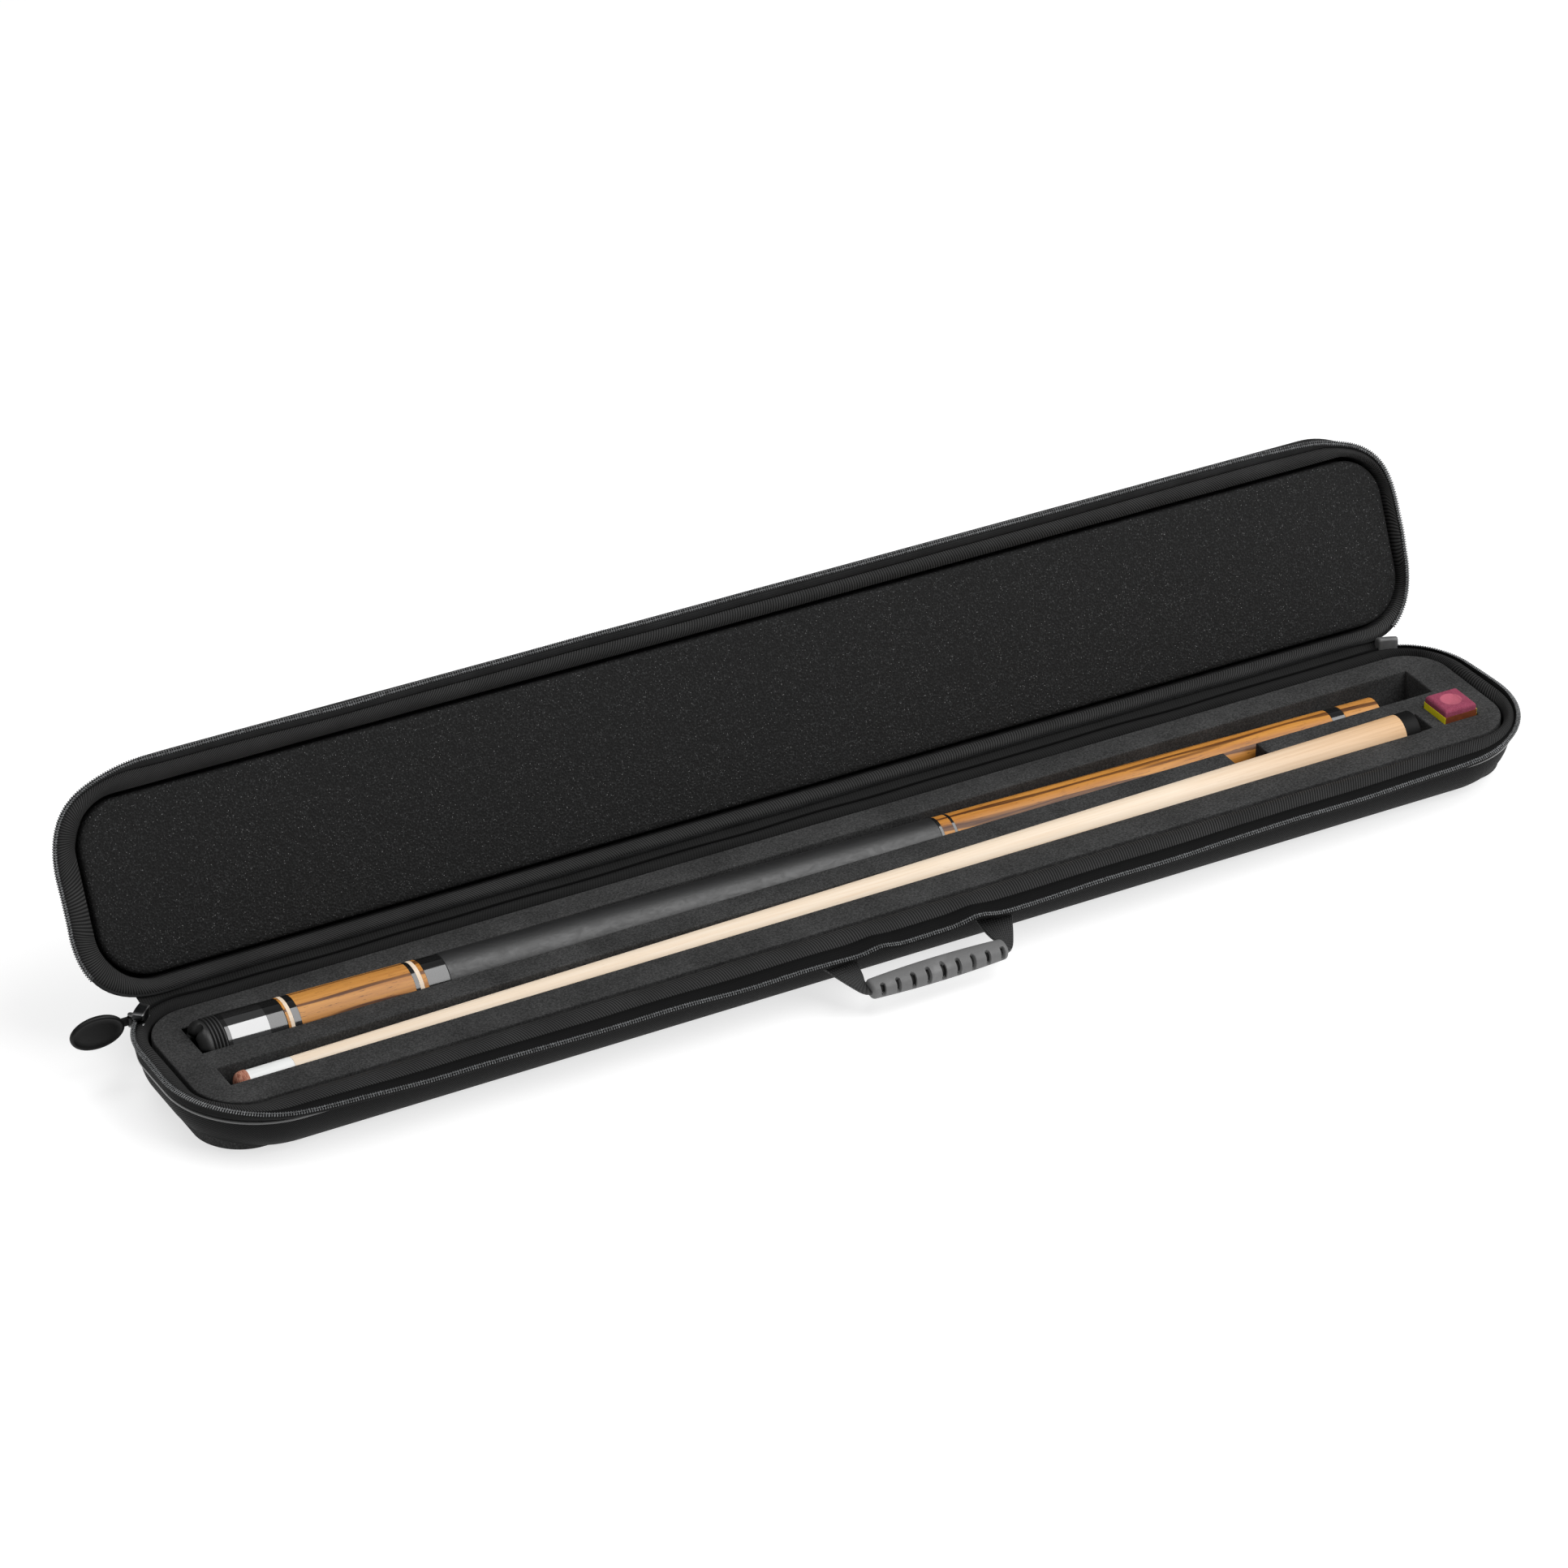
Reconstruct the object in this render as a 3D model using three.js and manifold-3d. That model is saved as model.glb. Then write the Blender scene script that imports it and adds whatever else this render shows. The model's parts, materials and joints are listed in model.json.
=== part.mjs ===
// A hard-sided two-piece cue case, standing open on a table, with its cue and a cube of chalk.
// Millimetres, +Z up, +X along the case, -Y towards the carrying handle.
// The origin is the centre of the flat underside of the base.
import * as THREE from 'three';
import { mergeVertices } from 'three/addons/utils/BufferGeometryUtils.js';
import Module from 'manifold-3d';

const wasm = await Module();
wasm.setup();

// ---- driving dimensions --------------------------------------------------------------------

// The rim is the outline where the two halves of the case meet.
const RIM = { x: 418, front: -63.5, rear: 63.5, frontRadius: 55, rearRadius: 45 };
const RIM_HEIGHT = 36.5;          // height of the parting plane over the table
const LID_DEPTH = 30;             // from the parting plane to the back of the lid
const LID_OPEN_ANGLE = 114.4;     // degrees from closed
const WALL = 3;                   // moulded shell
const SHELL_INSET = 1.5;          // the shell stands this far inside the rim outline
const SHELL_EDGE = 11.7;          // from the parting plane to the shell's edge
const PIPING = { inset: 1.6, depth: 10.2, radius: 1.4 };
const TAPE = { outer: 0.5, inner: 1.5, top: 1.7, bottom: 8.4 };
const TEETH = { outer: 0.4, inner: 2.2, top: 0.2, bottom: 1.4 };
const FIT = 0.3;                  // gap between pieces that touch on the real case
const WHOLE_ZIP = { from: 90, to: 90 };  // corner angles where the zip on the base starts and stops

const FOAM = { x: 407.7, front: -46.9, rear: 51.9, frontRadius: 28, rearRadius: 26 };
const FOAM_TOP = 33;
const PAD = { x: 410.2, front: -44, rear: 52.5, frontRadius: 25, rearRadius: 28 };
const PAD_RECESS = 5.7;           // the lid pad lies this far behind the parting plane
const PAD_THICKNESS = 18;
const LINING = { besideFoam: 1.2, besideWall: 2.1, bottom: 14.2 };  // depths; the first is below the foam

// Foam pockets, seen from above.
const BUTT_SLOT = { left: -389.1, right: 384, front: 7.2, rear: 34.5, floor: 7.5 };
const SHAFT_SLOT = { left: -388.8, right: 361.2, front: -27, rear: -9.2, floor: 17 };
const FINGER_NOTCH = { left: 242.4, right: 264.4, floor: 9 };
const CUE_CLEARANCE = 0.45;       // between the cue and the foam beside it

// The two cue pieces lie on their sides. Stations along them are distances along X.
const BUTT = { y: 20.85, z: 22.54, droop: 0.644, thinRadius: 10.7, thickRadius: 14.9,
  thinEnd: 352, thickEnd: -350 };
const SHAFT = { y: -18.1, z: 27.7, rise: 0.36, tipRadius: 6.1, jointRadius: 10.7,
  taperStart: -345, jointEnd: 352 };
const RING_GAP = 0.1;             // half of the gap between neighbouring turned pieces
const TURNING_SIDES = 28;
const BUMPER = { end: -388.3, seat: -374, hollow: 7, mouth: 8, ridges: 4, ridgePitch: 2, firstRidge: 7.4 };
const JOINT_PIN = { shoulder: 2.1, shoulderRadius: 5.5, end: 378, radius: 3.9, tipRadius: 2.6, tip: 2 };
const FERRULE = { from: -375.6, to: -349.8 };
const COLLAR = { from: 343.2, to: 353, bevel: 0.5, socketFrom: 346.5, socketRadius: 4.5 };
const INSERT = { end: 352.8, bore: 3.2, boreFrom: 348.4 };

const CHALK = { x: 380.9, y: -15.8, size: 21.1, top: 40.3, bottom: 18.3, bevel: 1.6 };
const CHALK_LABEL = { size: 22, thickness: 0.3, top: 36.2, bottom: 18.6 };
const CHALK_DIMPLE = { radius: 26, depth: 1.1 };
const CHALK_POCKET_SIZE = 22.8;

// The handle turns about a line just outside the front wall.
const HANDLE_PIVOT = { y: -64, z: 23 };
const HANDLE_DROOP = 13.8;        // degrees below level
// Half of the webbing's outline as [along the case, out from the pivot]; the other half mirrors it.
const WEB = {
  thickness: 2.2,
  outside: [[60, 0.5], [52, 16], [46.5, 27.3], [43, 28.5]],
  inside: [[42.5, 21.5], [40, 15], [38, 0.5]],
  inGrip: { from: 21.5, to: 28.5 },
};
const GRIP = {
  halfLength: 42, reach: 25, endHeight: 11, midHeight: 13.4, endDepth: 9.4, midDepth: 11, squareness: 0.7,
  endTrim: 0.9,
};

// The zip slider and the zip's end stop ride on the corner arcs at the rear.
const SLIDER = { angle: 135.8, halfAngle: 8, depthBelow: 6.5, heightAbove: 5 };
const END_STOP = { angle: 70, halfAngle: 8, depthBelow: 8, heightAbove: 5.5 };
// Insets of a saddle's faces: it straddles the teeth, and its inner top edge slopes off.
const SADDLE = { outside: -2.3, outsideInner: -0.1, insideInner: 2.6, inside: 3.6, bevel: 0.8, slopeFrom: 1.4,
  shoulder: 2.6, insideDepth: 1.4, roof: 2.2 };
const ZIP_GAP = { slider: 4, endStop: 3 };  // degrees of lid zip left out beside each of them
const PULL_PIN = { radius: 0.9, standOff: 5.2, low: 30.8, high: 36.2 };
const LUG = { halfWidth: 1.5, thickness: 1.2, rootGap: 1, beyondPin: 0.6 };
const PULL_TAB = { length: 31, height: 19.5, thickness: 3, gap: 4.3, z: 31.9 };
const EYE = { wall: 1.5, clearance: 0.3, endPlay: 0.5, neckHalfWidth: 1.2, intoTab: 3 };

// The hinge fabric: its outer face is `outside` in from the rim, and its fold lies on the hinge line.
const GUSSET = { halfLength: 372, outside: 0.4, thickness: 1, foldRadius: 1, foldFrom: -80, foldTo: 190 };

// ---- materials -----------------------------------------------------------------------------

const look = (color, roughness, metalness = 0) => ({ color, roughness, metalness });
const LOOKS = {
  shellNylon: look(0x1f1f20, 0.75),
  piping: look(0x161617, 0.35),
  tape: look(0x18181a, 0.85),
  teeth: look(0x2c2c2e, 0.4),
  lining: look(0x161617, 0.8),
  foam: look(0x303032, 0.95),
  sponge: look(0x121213, 0.98),
  endStop: look(0x55565a, 0.5),
  gunmetal: look(0x2a2a2c, 0.35, 1),
  rubber: look(0x1b1b1c, 0.6),
  gripRubber: look(0x4a4b4d, 0.6),
  webbing: look(0x151516, 0.9),
  gloss: look(0x060606, 0.08),
  bocote: look(0xb8742a, 0.18),
  maple: look(0xe9cfa8, 0.22),
  wrap: look(0x36373a, 0.7),
  steel: look(0xc6c8ca, 0.25, 1),
  brass: look(0xb08a3c, 0.3, 1),
  ferrule: look(0xf1efea, 0.25),
  leather: look(0x8a5e52, 0.8),
  chalk: look(0x8a3c50, 0.95),
  label: look(0xe6d214, 0.6),
};

function piece(name, geometry, finish) {
  const mesh = new THREE.Mesh(geometry, new THREE.MeshStandardMaterial(LOOKS[finish]));
  mesh.name = name;
  return mesh;
}

// ---- solids from rows of points --------------------------------------------------------------

const degrees = THREE.MathUtils.degToRad;

function arc(cx, cy, radius, from, to, steps = 10) {
  return Array.from({ length: steps + 1 }, (_, i) => {
    const a = degrees(from + (to - from) * i / steps);
    return [cx + radius * Math.cos(a), cy + radius * Math.sin(a)];
  });
}

// A rounded rectangle with its own front and rear corner radii, moved outwards by `by`.
function grown(outline, by) {
  return {
    x: outline.x + by, front: outline.front - by, rear: outline.rear + by,
    frontRadius: outline.frontRadius + by, rearRadius: outline.rearRadius + by,
  };
}

// The outline's points, clockwise from the rear right corner to the rear left one.
// `first` and `last` are angles on those two corners: 90 and 90 closes the whole outline.
function outlinePoints({ x, front, rear, frontRadius, rearRadius }, first = 90, last = 90) {
  return [
    ...arc(x - rearRadius, rear - rearRadius, rearRadius, first, 0),
    ...arc(x - frontRadius, front + frontRadius, frontRadius, 0, -90),
    ...arc(-x + frontRadius, front + frontRadius, frontRadius, -90, -180),
    ...arc(-x + rearRadius, rear - rearRadius, rearRadius, 180, last),
  ];
}

const row = (points, z) => points.map(([x, y]) => new THREE.Vector3(x, y, z));

// Triangles over a flat loop of points, whichever way it faces.
function flatCap(loop) {
  const normal = new THREE.Vector3();
  loop.forEach((p, i) => normal.add(new THREE.Vector3().crossVectors(p, loop[(i + 1) % loop.length])));
  normal.normalize();
  const across = loop[1].clone().sub(loop[0]).normalize();
  const up = new THREE.Vector3().crossVectors(normal, across);
  const flat = loop.map((p) => new THREE.Vector2(p.dot(across), p.dot(up)));
  return THREE.ShapeUtils.triangulateShape(flat, []);
}

// A closed body through a grid of rows. Either the rows wrap round into a tube and both ends
// of every row are capped, or each row is a loop and the first and last rows are capped, or both wrap.
function skin(rows, { rowsWrap = false, loops = true } = {}) {
  const count = rows[0].length;
  const points = rows.flat();
  const faces = [];
  const at = (r, c) => (r % rows.length) * count + (c % count);
  for (let r = 0; r < rows.length - (rowsWrap ? 0 : 1); r += 1) {
    for (let c = 0; c < count - (loops ? 0 : 1); c += 1) {
      faces.push([at(r, c), at(r, c + 1), at(r + 1, c + 1)], [at(r, c), at(r + 1, c + 1), at(r + 1, c)]);
    }
  }
  const cap = (ids, flip) => {
    for (const [a, b, c] of flatCap(ids.map((i) => points[i]))) {
      faces.push(flip ? [ids[c], ids[b], ids[a]] : [ids[a], ids[b], ids[c]]);
    }
  };
  if (!rowsWrap) {
    cap(rows[0].map((_, c) => at(0, c)), true);
    cap(rows[0].map((_, c) => at(rows.length - 1, c)), false);
  }
  if (!loops) {
    cap(rows.map((_, r) => at(r, 0)), false);
    cap(rows.map((_, r) => at(r, count - 1)), true);
  }
  return body(points, faces);
}

function signedVolume(points, faces) {
  const cross = new THREE.Vector3();
  return faces.reduce((sum, [a, b, c]) => sum + points[a].dot(cross.crossVectors(points[b], points[c])), 0);
}

function body(points, faces) {
  const outward = signedVolume(points, faces) > 0 ? faces : faces.map(([a, b, c]) => [c, b, a]);
  const geometry = new THREE.BufferGeometry();
  geometry.setAttribute('position',
    new THREE.Float32BufferAttribute(points.flatMap((p) => p.toArray()), 3));
  geometry.setIndex(outward.flat());
  return geometry;
}

// ---- cutting and joining ---------------------------------------------------------------------

function solid(geometry) {
  const plain = geometry.clone();
  plain.deleteAttribute('normal');
  plain.deleteAttribute('uv');
  const merged = mergeVertices(plain, 1e-4);
  return new wasm.Manifold(new wasm.Mesh({
    numProp: 3,
    vertProperties: new Float32Array(merged.attributes.position.array),
    triVerts: new Uint32Array(merged.index.array),
  }));
}

function geometryOf(manifold) {
  const { vertProperties, triVerts } = manifold.getMesh();
  const geometry = new THREE.BufferGeometry();
  geometry.setAttribute('position', new THREE.BufferAttribute(vertProperties, 3));
  geometry.setIndex(new THREE.BufferAttribute(triVerts, 1));
  return geometry;
}

function box(x0, x1, y0, y1, z0, z1) {
  const geometry = new THREE.BoxGeometry(x1 - x0, y1 - y0, z1 - z0);
  return geometry.translate((x0 + x1) / 2, (y0 + y1) / 2, (z0 + z1) / 2);
}

// ---- one half of the case --------------------------------------------------------------------

// A profile of [inset from the rim outline, depth from the parting plane], swept round the rim.
// `side` is -1 for the base, whose depth runs down, and 1 for the lid. With `zip` it runs between
// those two corner angles, by way of the front, and without it right round.
function sweep(profile, side, zip) {
  const rows = profile.map(([inset, depth]) => (
    row(outlinePoints(grown(RIM, -inset), zip?.from, zip?.to), side * depth)));
  return skin(rows, { rowsWrap: true, loops: !zip });
}

const bar = ({ outer, inner, top, bottom }) => [[outer, top], [inner, top], [inner, bottom], [outer, bottom]];

// Inset and depth along the rounded wall, from the shell's edge to its flat back.
function wallProfile(depth, offset, edge, steps = 7) {
  const corner = depth - SHELL_EDGE - FIT;
  const radius = corner - offset;
  const bend = Array.from({ length: steps + 1 }, (_, i) => {
    const a = Math.PI / 2 * i / steps;
    return [SHELL_INSET + corner - radius * Math.cos(a), depth - corner + radius * Math.sin(a)];
  });
  return [[SHELL_INSET + offset, edge], ...bend];
}

function shell(depth, side) {
  const rowAt = ([inset, d]) => row(outlinePoints(grown(RIM, -inset)), side * d);
  const outer = wallProfile(depth, 0, SHELL_EDGE).reverse().map(rowAt);
  const inner = wallProfile(depth, WALL, SHELL_EDGE).map(rowAt);
  return skin([...outer, ...inner]);
}

// The space inside a shell, with a gap all round, from the parting plane to the shell's floor.
function cavity(depth, side) {
  const profile = wallProfile(depth, WALL + FIT, 0);
  return skin(profile.map(([inset, d]) => row(outlinePoints(grown(RIM, -inset)), side * d)));
}

// The fabric band that fills the space between the foam and the wall.
function liningBand(inside, insideTop, side) {
  const outside = grown(RIM, -(SHELL_INSET + WALL + FIT));
  const nearFoam = outlinePoints(grown(inside, FIT));
  const nearWall = outlinePoints(outside);
  return skin([row(nearFoam, side * LINING.bottom), row(nearFoam, side * insideTop),
    row(nearWall, side * LINING.besideWall), row(nearWall, side * LINING.bottom)], { rowsWrap: true });
}

function pipingProfile(sides = 8) {
  return Array.from({ length: sides }, (_, i) => {
    const a = 2 * Math.PI * i / sides;
    return [PIPING.inset + PIPING.radius * Math.cos(a), PIPING.depth + PIPING.radius * Math.sin(a)];
  });
}

function halfCase(name, depth, side, zip, inside, foamDepth) {
  return [
    piece(`${name}_shell`, shell(depth, side), 'shellNylon'),
    piece(`${name}_piping`, sweep(pipingProfile(), side), 'piping'),
    piece(`${name}_zipper_tape`, sweep(bar(TAPE), side, zip), 'tape'),
    piece(`${name}_zipper_teeth`, sweep(bar(TEETH), side, zip), 'teeth'),
    piece(`${name}_lining`, liningBand(inside, foamDepth + LINING.besideFoam, side), 'lining'),
  ];
}

// ---- the hinge fabric --------------------------------------------------------------------------

// A strip along the case. The shape's own axes become Y and Z.
function alongX(shape, halfLength) {
  const options = { depth: 2 * halfLength, bevelEnabled: false, curveSegments: 8 };
  const toRow = new THREE.Matrix4().makeBasis(
    new THREE.Vector3(0, 1, 0), new THREE.Vector3(0, 0, 1), new THREE.Vector3(1, 0, 0));
  return new THREE.ExtrudeGeometry(shape, options).translate(0, 0, -halfLength).applyMatrix4(toRow);
}

// The half on the base ends in a round fold that lies exactly on the hinge line.
function baseGusset() {
  const outer = RIM.rear - GUSSET.outside;
  const shape = new THREE.Shape();
  shape.moveTo(outer - GUSSET.thickness, -TAPE.bottom);
  shape.lineTo(outer, -TAPE.bottom);
  shape.lineTo(outer, -1.2 * GUSSET.foldRadius);
  shape.absarc(RIM.rear, 0, GUSSET.foldRadius, degrees(GUSSET.foldFrom), degrees(GUSSET.foldTo), false);
  return alongX(shape, GUSSET.halfLength);
}

function lidGusset() {
  const outer = RIM.rear - GUSSET.outside;
  const shape = new THREE.Shape();
  shape.moveTo(outer - GUSSET.thickness, TAPE.top);
  shape.lineTo(outer, TAPE.top);
  shape.lineTo(outer, TAPE.bottom);
  shape.lineTo(outer - GUSSET.thickness, TAPE.bottom);
  return alongX(shape, GUSSET.halfLength);
}

// ---- foam ----------------------------------------------------------------------------------------

function block(outline, z0, z1) {
  const points = outlinePoints(outline);
  return solid(skin([row(points, z0), row(points, z1)]));
}

function buttRadius(x) {
  const along = (x - BUTT.thinEnd) / (BUTT.thickEnd - BUTT.thinEnd);
  return BUTT.thinRadius + (BUTT.thickRadius - BUTT.thinRadius) * along;
}

function shaftRadius(x) {
  const along = Math.max(0, (x - SHAFT.taperStart) / (SHAFT.jointEnd - SHAFT.taperStart));
  return SHAFT.tipRadius + (SHAFT.jointRadius - SHAFT.tipRadius) * along;
}

// A straight-walled pocket that follows a taper: stations are [x, half width].
function taperedPocket(y, stations, floor, top) {
  const shape = new THREE.Shape([
    ...stations.map(([x, half]) => new THREE.Vector2(x, y - half)),
    ...stations.toReversed().map(([x, half]) => new THREE.Vector2(x, y + half)),
  ]);
  const geometry = new THREE.ExtrudeGeometry(shape, { depth: top - floor, bevelEnabled: false });
  return solid(geometry.translate(0, 0, floor));
}

function slotBox({ left, right, front, rear, floor }) {
  return solid(box(left, right, front, rear, floor - RIM_HEIGHT, 1));
}

// In the base's own frame, whose zero height is the parting plane.
function foamInsert() {
  const top = 1;
  const at = (x, radius) => [x, radius(x) + CUE_CLEARANCE];
  const intoSlots = 2;
  const notch = { ...FINGER_NOTCH, front: SHAFT_SLOT.rear - intoSlots, rear: BUTT_SLOT.front + intoSlots };
  const halfPocket = CHALK_POCKET_SIZE / 2;
  const buttStations = [at(BUTT_SLOT.left, buttRadius), at(BUTT_SLOT.right, buttRadius)];
  const shaftStations = [at(SHAFT_SLOT.left, shaftRadius), at(SHAFT.taperStart, shaftRadius),
    at(SHAFT_SLOT.right, shaftRadius)];
  return geometryOf(block(FOAM, WALL + FIT - RIM_HEIGHT, FOAM_TOP - RIM_HEIGHT)
    .intersect(solid(cavity(RIM_HEIGHT, -1)))
    .subtract(slotBox(BUTT_SLOT))
    .subtract(slotBox(SHAFT_SLOT))
    .subtract(slotBox(notch))
    .subtract(taperedPocket(BUTT.y, buttStations, BUTT_SLOT.floor - RIM_HEIGHT, top))
    .subtract(taperedPocket(SHAFT.y, shaftStations, SHAFT_SLOT.floor - RIM_HEIGHT, top))
    .subtract(slotBox({ left: CHALK.x - halfPocket, right: CHALK.x + halfPocket,
      front: CHALK.y - halfPocket, rear: CHALK.y + halfPocket, floor: CHALK.bottom - FIT })));
}

function lidPad() {
  const pad = block(PAD, PAD_RECESS, PAD_RECESS + PAD_THICKNESS);
  return geometryOf(pad.intersect(solid(cavity(LID_DEPTH, 1))));
}

// ---- the zip's slider, pull and end stop -----------------------------------------------------------

// A saddle over the zip track, bent round a rear corner of the base. `side` is 1 on the right.
function saddle({ angle, halfAngle, depthBelow, heightAbove }, side) {
  const { outside, outsideInner, insideInner, inside, bevel, slopeFrom, shoulder, insideDepth } = SADDLE;
  const ceiling = heightAbove - SADDLE.roof;
  const profile = [[outside, -depthBelow], [outsideInner, -depthBelow], [outsideInner, ceiling],
    [insideInner, ceiling], [insideInner, -insideDepth], [inside, -insideDepth], [inside, shoulder],
    [slopeFrom, heightAbove], [outside + bevel, heightAbove], [outside, heightAbove - bevel]];
  const centre = [side * (RIM.x - RIM.rearRadius), RIM.rear - RIM.rearRadius];
  const rows = profile.map(([inset, z]) => (
    row(arc(...centre, RIM.rearRadius - inset, angle - halfAngle, angle + halfAngle, 4), RIM_HEIGHT + z)));
  return skin(rows, { rowsWrap: true, loops: false });
}

function pullPivot() {
  const a = degrees(SLIDER.angle);
  const reach = RIM.rearRadius + PULL_PIN.standOff;
  return new THREE.Vector3(-(RIM.x - RIM.rearRadius) + reach * Math.cos(a),
    RIM.rear - RIM.rearRadius + reach * Math.sin(a), 0);
}

function zipSlider() {
  const { radius, standOff, low, high } = PULL_PIN;
  const { halfWidth, thickness, rootGap, beyondPin } = LUG;
  const pivot = pullPivot();
  const toPivot = new THREE.Matrix4().makeRotationZ(degrees(SLIDER.angle)).setPosition(pivot);
  const root = rootGap - standOff;
  const lug = (z) => solid(box(root, radius + beyondPin, -halfWidth, halfWidth, z, z + thickness)
    .applyMatrix4(toPivot));
  // The pin ends inside both lugs.
  const pin = new THREE.CylinderGeometry(radius, radius, high - low + thickness, 16).rotateX(Math.PI / 2);
  return geometryOf(solid(saddle(SLIDER, -1))
    .add(lug(low - thickness))
    .add(lug(high))
    .add(solid(pin.translate(pivot.x, pivot.y, (low + high) / 2))));
}

// The pull is an oval tab with an eye round the slider's pin. It points along -X.
function pullTab() {
  const { length, height, thickness, gap, z } = PULL_TAB;
  const { radius, low, high } = PULL_PIN;
  const oval = new THREE.CylinderGeometry(1, 1, thickness, 40).scale(length / 2, 1, height / 2);
  oval.translate(-(gap + length / 2), 0, z);
  const { wall, clearance, endPlay, neckHalfWidth, intoTab } = EYE;
  const neckEnd = -radius - clearance - 0.2;
  const neck = box(-(gap + intoTab), neckEnd, -neckHalfWidth, neckHalfWidth, low + endPlay, high - endPlay);
  const upright = (r, h) => new THREE.CylinderGeometry(r, r, h, 20).rotateX(Math.PI / 2);
  const eye = upright(radius + wall, high - low - 2 * endPlay);
  const hole = upright(radius + clearance, 2 * (high - low));
  const middle = (low + high) / 2;
  return geometryOf(solid(oval).add(solid(neck))
    .add(solid(eye.translate(0, 0, middle)))
    .subtract(solid(hole.translate(0, 0, middle))));
}

// ---- handle ------------------------------------------------------------------------------------------

// Flat webbing that runs out from the wall, through the grip and back to the wall.
function handleWebbing() {
  const mirrored = (points) => points.toReversed().map(([x, out]) => [-x, out]);
  // Out along the right strap, over to the left one, and back along the inside edge.
  const outline = [...WEB.outside, ...mirrored(WEB.outside), ...mirrored(WEB.inside), ...WEB.inside];
  const shape = new THREE.Shape(outline.map(([x, out]) => new THREE.Vector2(x, -out)));
  const geometry = new THREE.ExtrudeGeometry(shape, { depth: WEB.thickness, bevelEnabled: false });
  return geometry.translate(0, 0, -WEB.thickness / 2);
}

function handleGrip() {
  const { halfLength, reach, endHeight, midHeight, endDepth, midDepth, squareness, endTrim } = GRIP;
  const steps = 12;
  const sides = 20;
  const rows = [];
  for (let i = 0; i <= steps; i += 1) {
    const along = -1 + 2 * i / steps;
    const fullness = 1 - along * along;
    const trim = i === 0 || i === steps ? endTrim : 1;
    const h = trim * (endHeight + (midHeight - endHeight) * fullness) / 2;
    const d = trim * (endDepth + (midDepth - endDepth) * fullness) / 2;
    rows.push(Array.from({ length: sides }, (_, s) => {
      const a = 2 * Math.PI * s / sides;
      const round = (v, size) => Math.sign(v) * Math.abs(v) ** squareness * size;
      return new THREE.Vector3(along * halfLength, -reach + round(Math.cos(a), h), round(Math.sin(a), d));
    }));
  }
  const halfGap = WEB.thickness / 2 + FIT;
  const tunnel = box(-halfLength - 1, halfLength + 1, -WEB.inGrip.to - FIT, -WEB.inGrip.from + FIT,
    -halfGap, halfGap);
  return geometryOf(solid(skin(rows)).subtract(solid(tunnel)));
}

// ---- cue ---------------------------------------------------------------------------------------------

// A turned piece: its profile is [x, radius] from one end to the other, closed on the axis.
function turned(name, finish, profile) {
  const ends = [[profile[0][0], 0], ...profile, [profile.at(-1)[0], 0]];
  const closed = ends.filter(([x, r], i) => i === 0 || x !== ends[i - 1][0] || r !== ends[i - 1][1]);
  const points = closed.map(([x, r]) => new THREE.Vector2(r, x));
  const geometry = new THREE.LatheGeometry(points, TURNING_SIDES).rotateZ(-Math.PI / 2);
  return piece(name, geometryOf(upright(solid(geometry))), finish);
}

// Turns a body right side out.
function upright(manifold) {
  if (manifold.volume() > 0) return manifold;
  const { vertProperties, triVerts } = manifold.getMesh();
  for (let i = 0; i < triVerts.length; i += 3) {
    [triVerts[i], triVerts[i + 2]] = [triVerts[i + 2], triVerts[i]];
  }
  return new wasm.Manifold(new wasm.Mesh({ numProp: 3, vertProperties, triVerts }));
}

const plainButt = (name, finish, from, to) => turned(name, finish,
  [[from + RING_GAP, buttRadius(from)], [to - RING_GAP, buttRadius(to)]]);

// The bumper has a hollow end and ridges round its side.
function bumper() {
  const { end, seat, hollow, mouth, ridges, ridgePitch, firstRidge } = BUMPER;
  const r = buttRadius(seat);
  const ridged = Array.from({ length: ridges }, (_, i) => {
    const x = seat - firstRidge + ridgePitch * i;
    return [[x, r - 0.9], [x + ridgePitch / 4, r], [x + 0.55 * ridgePitch, r]];
  }).flat();
  return turned('butt_bumper', 'rubber', [[end + hollow, mouth - 0.5], [end, mouth], [end, r - 4.2],
    [end + 1.4, r - 1.6], [end + 3.6, r - 0.4], [end + 5.6, r - 0.6], ...ridged, [seat - RING_GAP, r - 0.5]]);
}

// Rings and sleeves of the butt, as [name, finish, right end]. Each starts where the last one ends.
const BUTT_STACK = [
  ['butt_end_cap', 'gloss', -339],
  ['butt_ring_wood_low', 'bocote', -337.6],
  ['butt_ring_maple_low', 'maple', -335.4],
  ['butt_ring_black_low', 'gloss', -331.3],
  ['butt_sleeve', 'bocote', -264],
  ['butt_ring_black_mid', 'gloss', -261.5],
  ['butt_ring_maple_mid', 'maple', -259],
  ['butt_ring_wood_mid', 'bocote', -256.5],
  ['butt_collar', 'gloss', -243.6],
  ['butt_wrap', 'wrap', 61.5],
  ['butt_ring_black_high', 'gloss', 63.2],
  ['butt_ring_pieced', 'bocote', 69.8],
  ['butt_ring_black_top', 'gloss', 71.5],
  ['butt_forearm', 'bocote', 321],
  ['butt_joint_ring', 'gloss', 329.8],
  ['butt_joint_sleeve', 'bocote', 353.4],
];

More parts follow.
